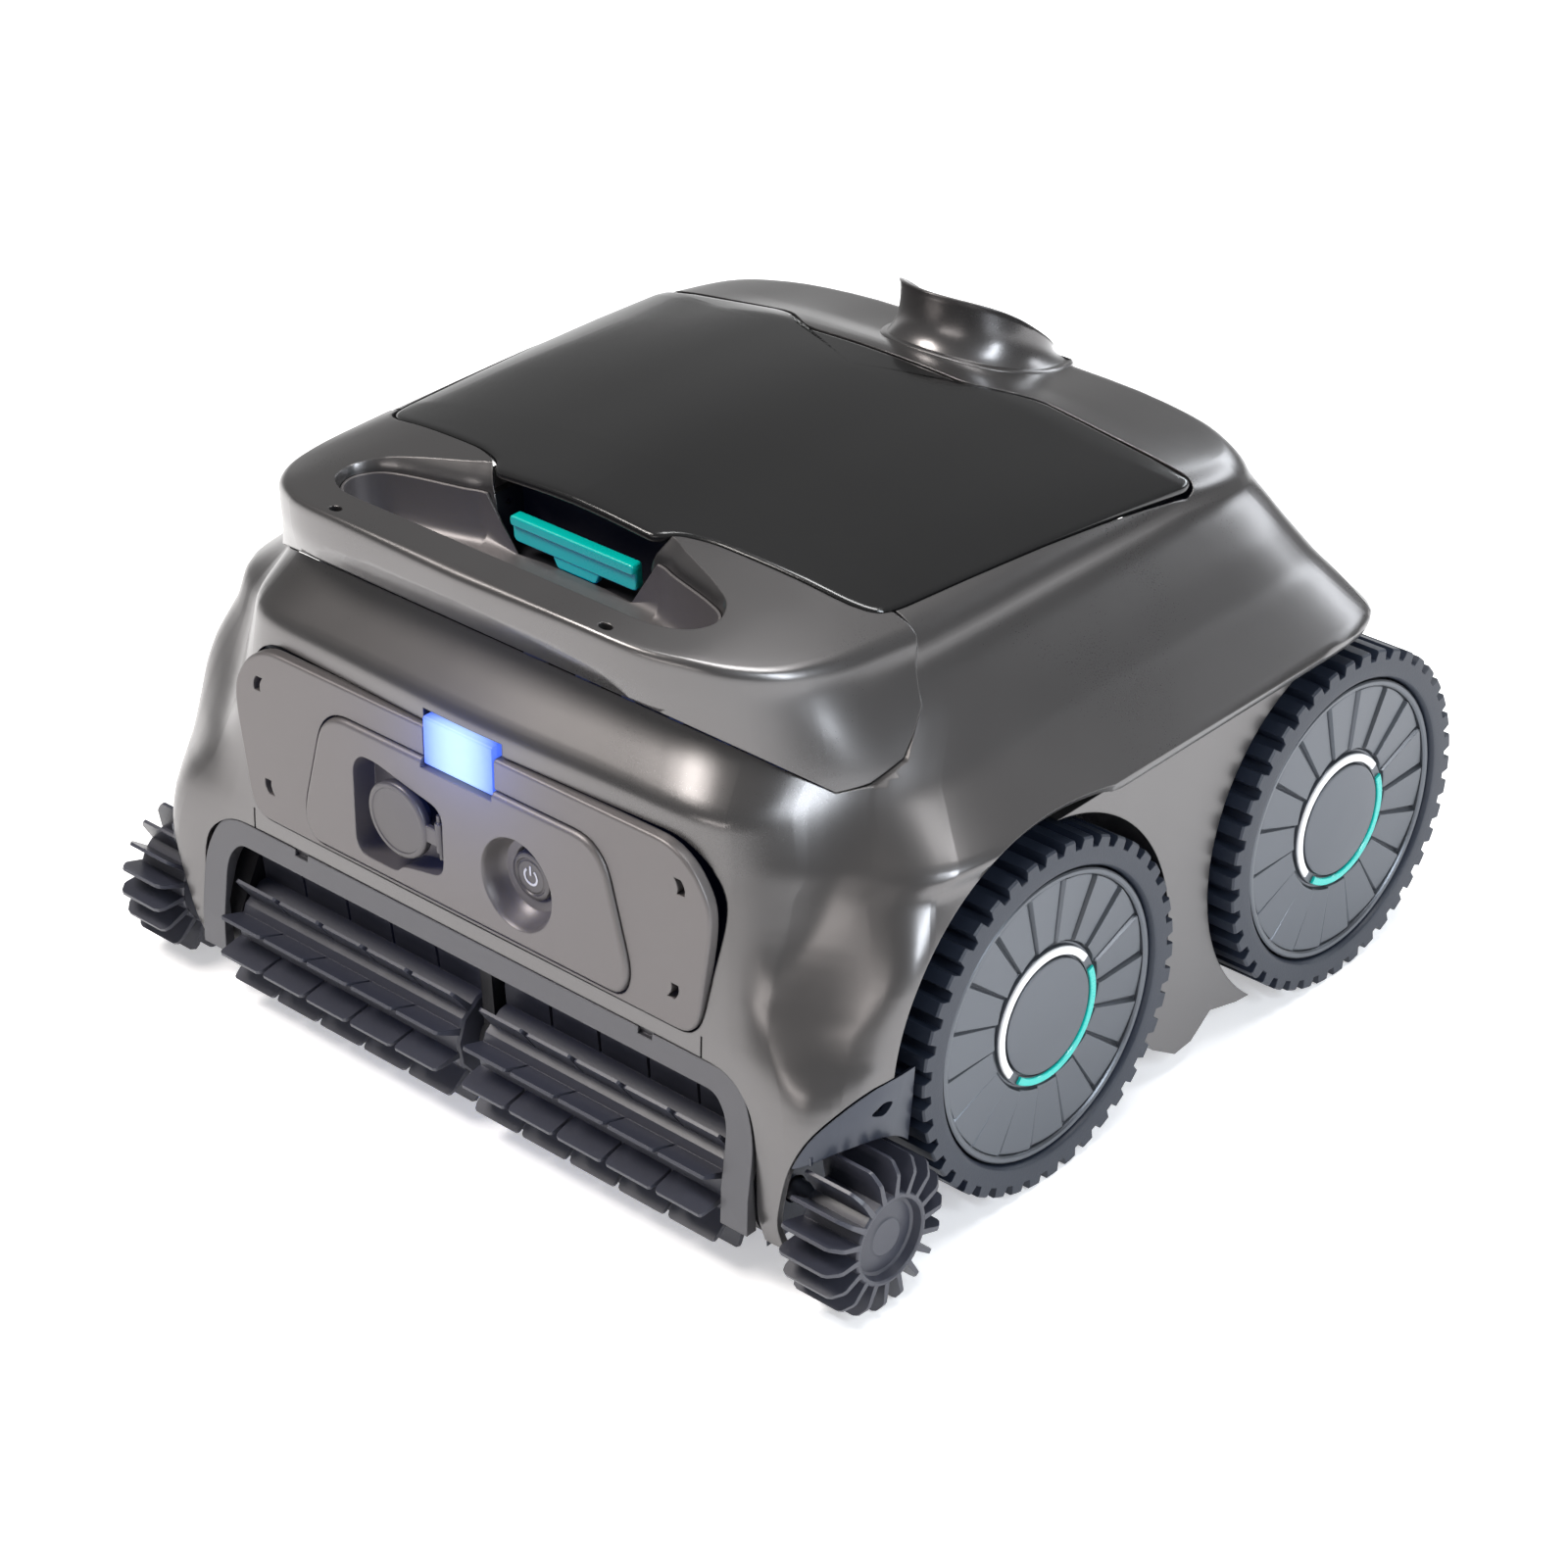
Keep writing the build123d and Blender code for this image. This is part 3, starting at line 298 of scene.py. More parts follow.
def finished(piece, body, finish, nodes=(), angle=32):
    # material, edges, body and the CAD nodes that the piece stands for
    softEdges(piece, angle)
    even = piece.modifiers.new("evenShade", "WEIGHTED_NORMAL")
    even.keep_sharp = True
    applied(piece)
    piece.data.materials.clear()
    piece.data.materials.append(finish)
    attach(piece, body)
    if nodes:
        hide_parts(*nodes)
    return piece


class Flow:
    # wraps a socket, so that shader maths reads as an expression
    def __init__(self, tree, socket):
        self.tree = tree
        self.socket = socket

    def joinedWith(self, operation, a, b):
        node = self.tree.nodes.new("ShaderNodeMath")
        node.operation = operation
        for slotIn, value in zip(node.inputs, (a, b)):
            if isinstance(value, Flow):
                self.tree.links.new(value.socket, slotIn)
            else:
                slotIn.default_value = value
        return Flow(self.tree, node.outputs[0])

    def __add__(self, other): return self.joinedWith("ADD", self, other)
    def __radd__(self, other): return self.joinedWith("ADD", other, self)
    def __sub__(self, other): return self.joinedWith("SUBTRACT", self, other)
    def __rsub__(self, other): return self.joinedWith("SUBTRACT", other, self)
    def __mul__(self, other): return self.joinedWith("MULTIPLY", self, other)
    def __rmul__(self, other): return self.joinedWith("MULTIPLY", other, self)


class Finish:
    # one material; node() makes any other node from its type, its settings and its sockets
    def __init__(self, name):
        self.material = bpy.data.materials.new(name)
        self.material.use_nodes = True
        self.tree = self.material.node_tree
        self.shader = self.tree.nodes["Principled BSDF"]
        self.place = self.node("ShaderNodeTexCoord", {}, {}, "Object")

    def node(self, kind, settings, sockets, output=0):
        node = self.tree.nodes.new(kind)
        for key, value in settings.items():
            if key == "stops":
                ramp = node.color_ramp
                while len(ramp.elements) < len(value):
                    ramp.elements.new(0.5)
                for stop, (at, colour) in zip(ramp.elements, value):
                    stop.position = at
                    stop.color = (*colour, 1)
            else:
                setattr(node, key, value)
        for key, value in sockets.items():
            if isinstance(value, Flow):
                self.tree.links.new(value.socket, node.inputs[key])
            else:
                node.inputs[key].default_value = value
        return Flow(self.tree, node.outputs[output])

    def noise(self, scale, detail=4.0, rough=0.55, stretch=None):
        where = self.place
        if stretch:
            where = self.node("ShaderNodeMapping", {}, {"Vector": where, "Scale": stretch})
        return self.node("ShaderNodeTexNoise", {}, {"Vector": where, "Scale": scale, "Detail": detail,
                                                    "Roughness": rough})

    def drive(self, socket, flow):
        self.tree.links.new(flow.socket, self.shader.inputs[socket])

    def constant(self, **values):
        for key, value in values.items():
            self.shader.inputs[key.replace("_", " ")].default_value = value

    def bump(self, height, strength, distance, under=None):
        sockets = {"Height": height, "Strength": strength, "Distance": distance}
        if under is not None:
            sockets["Normal"] = under
        return self.node("ShaderNodeBump", {}, sockets)

    def rounded(self, radius):
        return self.node("ShaderNodeBevel", {"samples": 4}, {"Radius": radius})

    def mixed(self, factor, low, high):
        node = self.tree.nodes.new("ShaderNodeMix")
        node.data_type = "RGBA"
        for index, value in ((0, factor), (6, low), (7, high)):
            if isinstance(value, Flow):
                self.tree.links.new(value.socket, node.inputs[index])
            else:
                node.inputs[index].default_value = value if index == 0 else (*value, 1)
        return Flow(self.tree, node.outputs[2])


def mouldedFinish(name, look):
    # satin moulding: slow colour drift, fine grain, roughness that wanders, edges catching light
    f = Finish(name)
    drift = f.noise(look.get("driftScale", 9.0), 3.0)
    grain = f.noise(look.get("grainScale", 1600.0), 2.0, 0.6)
    f.drive("Base Color", f.mixed(drift, look["low"], look["high"]))
    f.drive("Roughness", (drift - 0.5) * look.get("roughDrift", 0.08) + (grain - 0.5) * 0.05 + look["rough"])
    f.constant(Metallic=look.get("metal", 0.0), IOR=look.get("ior", 1.5))
    f.constant(Coat_Weight=look.get("coat", 0.0), Coat_Roughness=look.get("coatRough", 0.12))
    edge = look.get("edge", 0.0006)
    f.drive("Normal", f.bump(grain, look.get("grain", 0.12), 0.0002, f.rounded(edge) if edge else None))
    return f.material


finishLooks = {
    "gunmetal": {"low": (0.125, 0.121, 0.121), "high": (0.158, 0.152, 0.152), "rough": 0.29, "metal": 0.88,
                 "coat": 0.18, "coatRough": 0.2, "grain": 0.05, "edge": 0.0008},
    "panelGrey": {"low": (0.125, 0.116, 0.116), "high": (0.150, 0.140, 0.140), "rough": 0.42, "metal": 0.55,
                  "grain": 0.10, "edge": 0.0008},
    "frameGrey": {"low": (0.085, 0.085, 0.092), "high": (0.108, 0.107, 0.115), "rough": 0.36, "metal": 0.7,
                  "grain": 0.06, "edge": 0.0008},
    "innerBlack": {"low": (0.006, 0.006, 0.008), "high": (0.012, 0.012, 0.015), "rough": 0.55, "grain": 0.25,
                   "edge": 0.0},
    "shroudNavy": {"low": (0.020, 0.026, 0.042), "high": (0.032, 0.038, 0.056), "rough": 0.30, "metal": 0.35,
                   "coat": 0.35, "coatRough": 0.18, "grain": 0.08},
    "tyreNavy": {"low": (0.011, 0.016, 0.028), "high": (0.017, 0.023, 0.038), "rough": 0.46, "grain": 0.35,
                 "grainScale": 900.0, "edge": 0.0005},
    "bladeGrey": {"low": (0.030, 0.032, 0.045), "high": (0.042, 0.044, 0.060), "rough": 0.40, "grain": 0.2,
                  "grainScale": 700.0, "edge": 0.0004, "coat": 0.15, "coatRough": 0.3},
    "hubGrey": {"low": (0.100, 0.108, 0.123), "high": (0.128, 0.138, 0.154), "rough": 0.34, "metal": 0.8,
                "grain": 0.06, "edge": 0.0004},
    "capGrey": {"low": (0.075, 0.070, 0.072), "high": (0.100, 0.094, 0.096), "rough": 0.38, "metal": 0.55,
                "grain": 0.08, "edge": 0.0004},
    "markGrey": {"low": (0.42, 0.42, 0.43), "high": (0.50, 0.50, 0.51), "rough": 0.4, "grain": 0.05,
                 "edge": 0.0},
    "teal": {"low": (0.0, 0.46, 0.40), "high": (0.0, 0.52, 0.45), "rough": 0.28, "coat": 0.5, "grain": 0.05,
             "edge": 0.0006},
    "arcWhite": {"low": (0.80, 0.80, 0.80), "high": (0.86, 0.86, 0.86), "rough": 0.3, "grain": 0.05,
                 "edge": 0.0004},
    "gearIvory": {"low": (0.55, 0.52, 0.44), "high": (0.62, 0.59, 0.50), "rough": 0.45, "edge": 0.0004},
    "steel": {"low": (0.50, 0.50, 0.52), "high": (0.60, 0.60, 0.62), "rough": 0.28, "metal": 1.0,
              "edge": 0.0003},
    "batteryWrap": {"low": (0.05, 0.10, 0.16), "high": (0.07, 0.13, 0.20), "rough": 0.35, "coat": 0.4},
    "boardGreen": {"low": (0.01, 0.10, 0.05), "high": (0.02, 0.14, 0.07), "rough": 0.35, "coat": 0.5},
    "filterGrey": {"low": (0.30, 0.31, 0.32), "high": (0.36, 0.37, 0.38), "rough": 0.5, "grain": 0.2},
}
finishes = {name: mouldedFinish(name, look) for name, look in finishLooks.items()}


def smokedFinish():
    # near-black gloss with a slow random colour drift and a clear coat
    f = Finish("smokedGloss")
    drift = f.noise(5.0, 2.0)
    swirl = f.noise(60.0, 3.0)
    f.drive("Base Color", f.mixed(drift, (0.006, 0.006, 0.0062), (0.012, 0.012, 0.0123)))
    f.drive("Roughness", (swirl - 0.5) * 0.03 + 0.16)
    f.constant(Coat_Weight=0.35, Coat_Roughness=0.06, IOR=1.45)
    f.drive("Normal", f.bump(swirl, 0.02, 0.0005, f.rounded(0.0009)))
    return f.material


def lampFinish():
    # frosted lens lit from behind, brightest in the middle of its width
    f = Finish("lampGlow")
    across = f.node("ShaderNodeSeparateXYZ", {}, {"Vector": f.place}, 0)
    cells = f.noise(220.0, 1.0)
    middle = 1.0 - (across * across) * 2600.0
    f.drive("Base Color", f.mixed(cells, (0.05, 0.08, 0.20), (0.08, 0.12, 0.26)))
    f.drive("Emission Color", f.mixed(middle, (0.06, 0.14, 0.80), (0.42, 0.62, 1.0)))
    f.constant(Emission_Strength=1.15, Roughness=0.4)
    return f.material


finishes["smoked"] = smokedFinish()
finishes["lamp"] = lampFinish()
print("finishes made:", len(finishes))


bodyForm = {
    "reach": [20, 22, 14, 12, 14, 60, 60, 24, 14, 60, 60],     # rounding along each outline corner
    "bend": [5, 8, 30, 20, 8, 18, 3, 3, 4, 5, 7, 5],           # rounding up the body at each level
    "fillet": 9.0,
}
bodyLevels = [
    (20, [(0, -124), (150, -124), (173, -127), (186, -122), (195, -102), (195, -60), (197, 90), (195, 193),
          (183, 214), (112, 219), (0, 222)]),
    (34, [(0, -128), (150, -128), (176, -131), (190, -126), (198, -104), (198, -60), (200, 90), (198, 196),
          (186, 218), (112, 223), (0, 226)]),
    (62, [(0, -125), (150, -125), (176, -131), (190, -130), (202, -108), (202, -60), (203, 90), (202, 198),
          (188, 222), (112, 228), (0, 231)]),
    (92, [(0, -124), (138, -124), (166, -127), (190, -126), (206, -102), (206, -60), (204, 90), (204, 200),
          (190, 226), (112, 232), (0, 235)]),
    (112, [(0, -123), (134, -122), (156, -120), (172, -118), (207, -94), (208, -60), (204, 90), (206, 204),
           (192, 227), (112, 233), (0, 236)]),
    (138, [(0, -121.5), (132, -119), (152, -113), (168, -97), (209, -85), (210, -60), (205, 90), (208, 206),
           (194, 227), (112, 233), (0, 236)]),
    (162, [(0, -119.5), (130, -116), (150, -107), (168, -86), (196, -74), (206, -50), (206, 90), (206, 208),
           (194, 226), (112, 232), (0, 235)]),
    (171, [(0, -118.5), (130, -115), (150, -104), (170, -80), (199, -66), (212, -40), (212, 90), (212, 200),
           (200, 223), (112, 231), (0, 234)]),
    (193, [(0, -117.5), (128, -113), (146, -100), (160, -70), (176, -50), (184, -20), (185, 90), (186, 186),
           (178, 213), (112, 226), (0, 229)]),
    (210, [(0, -101), (120, -97), (142, -80), (158, -50), (166, -30), (171, 0), (171, 90), (172, 180),
           (164, 206), (112, 223), (0, 227)]),
    (226, [(0, -88), (112, -86), (140, -72), (152, -50), (155, -30), (157, 0), (157, 90), (156, 172),
           (150, 200), (112, 221), (0, 225)]),
    (272, [(0, -88), (108, -86), (134, -72), (146, -50), (148, -30), (149, 0), (150, 90), (148, 166),
           (144, 194), (112, 215), (0, 218)]),
]
roofLines = [
    (-150, [(0, 257.0), (60, 257.0), (110, 252.0), (138, 243.0), (160, 234.0)]),
    (-93, [(0, 257.5), (60, 257.5), (110, 254.0), (140, 246.5), (160, 238.0)]),
    (-40, [(0, 264.5), (50, 261.5), (100, 256.0), (140, 247.5), (160, 238.0)]),
    (50, [(0, 267.0), (60, 263.0), (110, 256.0), (147, 244.5), (160, 238.0)]),
    (138, [(0, 260.0), (60, 257.0), (110, 249.0), (152, 240.0), (160, 235.0)]),
    (175, [(0, 247.0), (60, 246.0), (110, 242.0), (150, 236.0), (160, 232.0)]),
    (245, [(0, 228.0), (60, 228.0), (110, 226.0), (150, 223.0), (160, 221.0)]),
]
roofX = np.linspace(0, 200, 81)
roofY = np.linspace(-150, 245, 159)
roofAcross = np.array([steadyCurve([-60] + [x for x, z in line] + [200],
                                   [line[1][1]] + [z for x, z in line] + [line[-1][1] - 22], roofX)
                       for y, line in roofLines])
roofTable = steadyCurve([y for y, line in roofLines], roofAcross, roofY)


def roofAt(x, y):
    # height of the crowned deck, read between the nearest table entries
    u = np.clip(np.abs(x) / 200 * 80, 0, 79.999)
    v = np.clip((y + 150) / 395 * 158, 0, 157.999)
    i, j = u.astype(int), v.astype(int)
    a, b = u - i, v - j
    return (roofTable[j, i] * (1 - a) * (1 - b) + roofTable[j, i + 1] * a * (1 - b)
            + roofTable[j + 1, i] * (1 - a) * b + roofTable[j + 1, i + 1] * a * b)


def domed(sideRings, fillet, deckRows, spine):
    # side rings cut where they meet the roof, a rounded shoulder there, then rings over the deck to a spine
    rows, columns = sideRings.shape[:2]
    over = sideRings[..., 2] - roofAt(sideRings[..., 0], sideRings[..., 1])
    first = np.argmax(over > 0, axis=0)
    c = np.arange(columns)
    low, high = over[first - 1, c], over[first, c]
    t = (-low / (high - low))[:, None]
    meet = sideRings[first - 1, c] * (1 - t) + sideRings[first, c] * t
    base = sideRings[:, :, 2].min(axis=0)
    top = meet[:, 2] - fillet
    share = np.linspace(0, 1, rows)[:, None]
    wanted = base + (top - base) * share
    side = np.empty((rows, columns, 3))
    for k in range(columns):
        side[:, k, 0] = np.interp(wanted[:, k], sideRings[:, k, 2], sideRings[:, k, 0])
        side[:, k, 1] = np.interp(wanted[:, k], sideRings[:, k, 2], sideRings[:, k, 1])
    side[..., 2] = wanted
    middle = np.stack([np.zeros(columns), np.clip(meet[:, 1], *spine)], axis=-1)
    inward = middle - meet[:, :2]
    length = np.linalg.norm(inward, axis=-1, keepdims=True)
    landing = meet[:, :2] + inward / length * fillet
    landing = np.column_stack([landing, roofAt(landing[:, 0], landing[:, 1])])
    bend = (np.arange(1, 6) / 6)[:, None, None]
    shoulder = (1 - bend) ** 2 * side[-1] + 2 * bend * (1 - bend) * meet + bend**2 * landing
    s = np.linspace(0, 1, deckRows)[:, None, None]
    flat = landing[:, :2] * (1 - s) + middle * s
    deck = np.concatenate([flat, roofAt(flat[..., 0], flat[..., 1])[..., None]], axis=-1)
    return np.concatenate([side, shoulder, deck])


def levelRings(levels, reach, bend, arc=5, straight=6):
    half = np.array([[(x, y, z) for x, y in ring] for z, ring in levels], float)
    rows = roundedStack(half, bend, arc=4, straight=5)
    full = bothSides(rows)
    corner = np.concatenate([reach, reach[1:-1][::-1]]).astype(float)
    return roundedRing(full, corner, arc, straight)


def skinSolid(name):
    # closed solid under the body's skin, with a flat bottom
    rings = domed(levelRings(bodyLevels, bodyForm["reach"], bodyForm["bend"]), bodyForm["fillet"], 26, (-55, 150))
    rows, columns = rings.shape[:2]
    faces = gridFaces(rows, columns).tolist()
    faces.append(list(range(columns))[::-1])
    return tidyMesh(newMesh(name, rings.reshape(-1, 3), faces), 0.000001)


def copyOf(piece, name):
    other = bpy.data.objects.new(name, piece.data.copy())
    bpy.context.scene.collection.objects.link(other)
    return other


lidForm = {
    "half": [(0, -49), (45.3, -49), (52, -41), (66, -36), (128, -27), (138, -22), (141, -14), (153, 152),
             (151, 157.5), (72, 154.5), (47, 137), (0, 136)],
    "reach": [1, 4, 6, 6, 8, 6, 8, 3, 3, 8, 8, 1],
    "gap": 1.5,
    "profile": [(1.0, -3.6), (0.3, -3.3), (0, -2.6), (0, -1.2), (0.3, -0.5), (0.9, -0.1), (2.0, 0.1)],
}
recessForm = {
    "half": [(0, -93), (85, -93), (100, -87), (105, -76), (98, -64), (84, -59), (60, -53), (52, -50), (0, -50)],
    "reach": [1, 14, 8, 8, 8, 8, 3, 3, 1],
}
panelForm = {
    "half": [(0, 183), (118, 183), (131, 176), (140, 163), (141, 150), (134, 106), (127, 99), (0, 99)],
    "reach": [1, 8, 8, 8, 10, 8, 6, 1],
}


def halfRing(form, arc=4, straight=4):
    corner = np.array(form["reach"] + form["reach"][1:-1][::-1], float)
    return roundedRing(bothSides(form["half"]), corner, arc, straight)


lidRing = halfRing(lidForm)
recessRing = halfRing(recessForm, 5, 3)
panelRing = halfRing(panelForm)[::-1]      # (x, z), turned anticlockwise seen from the front


def faceY(z, proud=0.0):
    # the tilted front face: y at height z, moved forward by proud
    return -118.5 - (190 - z) * 0.06 - proud


shellCuts = {
    "handleKeep": [(-127, 244), (-114.5, 244), (-109.5, 230.3), (-69, 196), (-56, 196.5), (-40, 201.5), (-23.5, 216),
                   (-14.5, 240), (-14.5, 320), (-127, 320)],
    "window": [(-166, 0), (-166, 68), (-162, 82), (-149, 91.5), (149, 91.5), (162, 82), (166, 68), (166, 0)],
    "foot": [(176, -10), (176, 34), (183, 62), (190, 79), (200, 93), (206, 98.5), (240, 99), (240, -10)],
    "rearSplit": 214.0,
    "rearPanel": [(-162, 60), (162, 60), (162, 165.4), (250, 165.4), (250, 216.4), (-250, 216.4), (-250, 165.4),
                  (-162, 165.4)],
}


def archTool(name, side):
    profile = [(160, 92.0), (204.5, 92.0), (212.5, 102.5), (232, 102.5)]
    tool = turned(name, 0, axleHeight, profile, 160)
    if side < 0:
        other = mirrored(tool, name + "L")
        bpy.data.objects.remove(tool)
        tool = other
    return tool


def lowerTool(name, front=-88.0):
    # everything below the fenders, with a round front corner over the wheel
    turn = np.radians(np.linspace(165, 86, 24))
    arc = np.column_stack([92 * np.cos(turn), axleHeight + 92 * np.sin(turn)])
    outline = [(front, -30)] + arc.tolist() + [(30, 166.5), (221, 165.0), (262, 165.0), (262, -30)]
    return slabAlong(name, "X", outline[::-1], -250, 250)


def footTool(name, side):
    outline = roundedRing([(side * x, z) for x, z in shellCuts["foot"]][::side], 8, 3, 1)
    return slabAlong(name, "Y", outline, -170, -60)


def drawnIn(piece, name):
    inner = copyOf(piece, name)
    middle = toFrame([0, 52, 0])[0]
    scale = Matrix.Diagonal((0.985, 0.984, 0.9885, 1))
    shift = Matrix.Translation((0, middle[1] * (1 - 0.984), -0.0006))
    inner.data.transform(shift @ scale)
    return inner


def buildShell():
    shell = skinSolid("bodyShell")
    # the inside is the same form drawn in by the wall's thickness on every side
    shell = carved(shell, [drawnIn(shell, "innerTool")])
    rear = copyOf(shell, "rearCover")
    window = roundedRing(shellCuts["window"], 9, 4, 2)
    tools = [lowerTool("lower"), archTool("archRight", 1), archTool("archLeft", -1),
             footTool("footRight", 1), footTool("footLeft", -1),
             slabAlong("window", "Y", window, -170, -60),
             slabAlong("panelHole", "Y", panelRing, -170, -60),
             slabAlong("handleKeep", "X", shellCuts["handleKeep"], -250, 250),
             slabAlong("lidHole", "Z", movedIn(lidRing, -lidForm["gap"]), 190, 320),
             blockOf("lampHole", -23, 23, -170, -60, 160, 188.5),
             nozzleTool("nozzleHole", 38.5)]
    for side in (-1, 1):
        x = side * 133.5
        tools.append(blockOf("seam", x - 0.5, x + 0.5, -128, -119.5, 88, 101))
    shell = carved(shell, tools)
    split = shellCuts["rearSplit"]
    carved(shell, [blockOf("rearTool", -250, 250, split, 300, -30, 217)])
    carved(rear, [slabAlong("keepTool", "Y", shellCuts["rearPanel"], split + 0.6, 300)], "INTERSECT")
    vents = [nozzleTool("nozzleHole", 38.5)]
    for row in range(6):
        z = 112 + row * 9
        slot = roundedRing([(-60, z), (60, z), (60, z + 4), (-60, z + 4)], 2, 3, 2)
        vents.append(slabAlong("vent", "Y", slot, 218, 260))
    carved(rear, vents)
    finished(shell, "hull", finishes["gunmetal"], ["upper_shell"], 40)
    finished(rear, "hull", finishes["gunmetal"], ["rear_cover"], 40)


nozzleForm = {
    "y": 198.0, "mouth": 258.5, "slope": 0.8243, "radius": 33.5, "flare": 41.0, "back": 222.5,
    "wall": 2.6, "floor": 206.0,
}


def nozzleTool(name, radius):
    turn = np.arange(64) * 2 * math.pi / 64
    y = np.minimum(nozzleForm["y"] + radius * np.sin(turn), nozzleForm["back"] - 1.5)
    return slabAlong(name, "Z", np.column_stack([radius * np.cos(turn), y]), 190, 320)


def buildNozzle():
    # rings round the duct: foot on the deck, concave neck, sloped lip, and back down inside
    form = nozzleForm
    turn = np.arange(120) * 2 * math.pi / 120
    c, s = np.cos(turn), np.sin(turn)

    def ring(radius, up, inside=0.0):
        x, y = radius * c, np.minimum(form["y"] + radius * s, form["back"] - inside)
        deck = roofAt(x, y)
        ahead = form["y"] - y
        mouth = form["mouth"] + ahead * form["slope"] - 0.009 * np.maximum(ahead - 4, 0) ** 2
        mouth = np.maximum(mouth, deck + 2.5)
        return np.column_stack([x, y, deck + (mouth - deck) * up])

    rings = [ring(form["flare"] + 1.5, 0.0) - [0, 0, 3.5], ring(form["flare"] + 1.5, 0.0) + [0, 0, 0.1],
             ring(form["flare"] + 0.6, 0.0) + [0, 0, 0.9]]
    for t in np.linspace(0.05, 0.93, 16):
        rings.append(ring(form["radius"] - 0.4 + (form["flare"] - form["radius"]) * (1 - t) ** 3.2, t))
    rings += [ring(form["radius"] + 0.1, 0.97), ring(form["radius"], 0.992), ring(form["radius"] - 0.7, 1.0),
              ring(form["radius"] - form["wall"] + 0.6, 1.0, 1.8), ring(form["radius"] - form["wall"], 0.985, 2.4),
              ring(form["radius"] - form["wall"] - 0.3, 0.9, 2.8)]
    low = ring(form["radius"] - form["wall"] - 0.3, 0.0, 2.8)
    low[:, 2] = form["floor"]
    under = ring(form["flare"] - 1.5, 0.0, 1.0)
    under[:, 2] = form["floor"]
    rings += [low, under]
    rings = np.array(rings)
    faces = gridFaces(len(rings) + 1, 120).tolist()
    faces = [[v % (len(rings) * 120) for v in f] for f in faces]
    nozzle = tidyMesh(newMesh("outletNozzle", rings.reshape(-1, 3), faces))
    finished(nozzle, "hull", finishes["gunmetal"], ["outlet_nozzle"], 40)


handleForm = {
    "levels": [
        (186, [(0, -104), (95, -103), (130, -94), (151, -82), (165, -62), (178, -14.5), (0, -14.5)]),
        (200, [(0, -105), (95, -104), (129, -95), (150, -82), (163, -62), (176, -14.5), (0, -14.5)]),
        (215, [(0, -108), (94, -107), (128, -96), (147, -81), (159, -60), (164.6, -14.5), (0, -14.5)]),
        (230, [(0, -112), (93, -111), (126, -98), (144, -80), (153, -57), (155.6, -14.5), (0, -14.5)]),
        (238, [(0, -114.5), (92, -113.5), (124.5, -100), (142, -80), (150.5, -55), (154.2, -14.5), (0, -14.5)]),
        (245, [(0, -115), (92, -114), (124, -100), (142, -80), (150, -54), (152.8, -14.5), (0, -14.5)]),
        (272, [(0, -115), (92, -114), (124, -100), (142, -80), (149, -54), (149.0, -14.5), (0, -14.5)]),
    ],
    "reach": [1, 40, 18, 14, 14, 1, 1],
    "side": [(-127, 251), (-115.2, 245), (-109.5, 231), (-69, 196.5), (-56, 197), (-40, 202), (-24, 216),
             (-15, 240), (-15, 300), (-127, 300)],
}


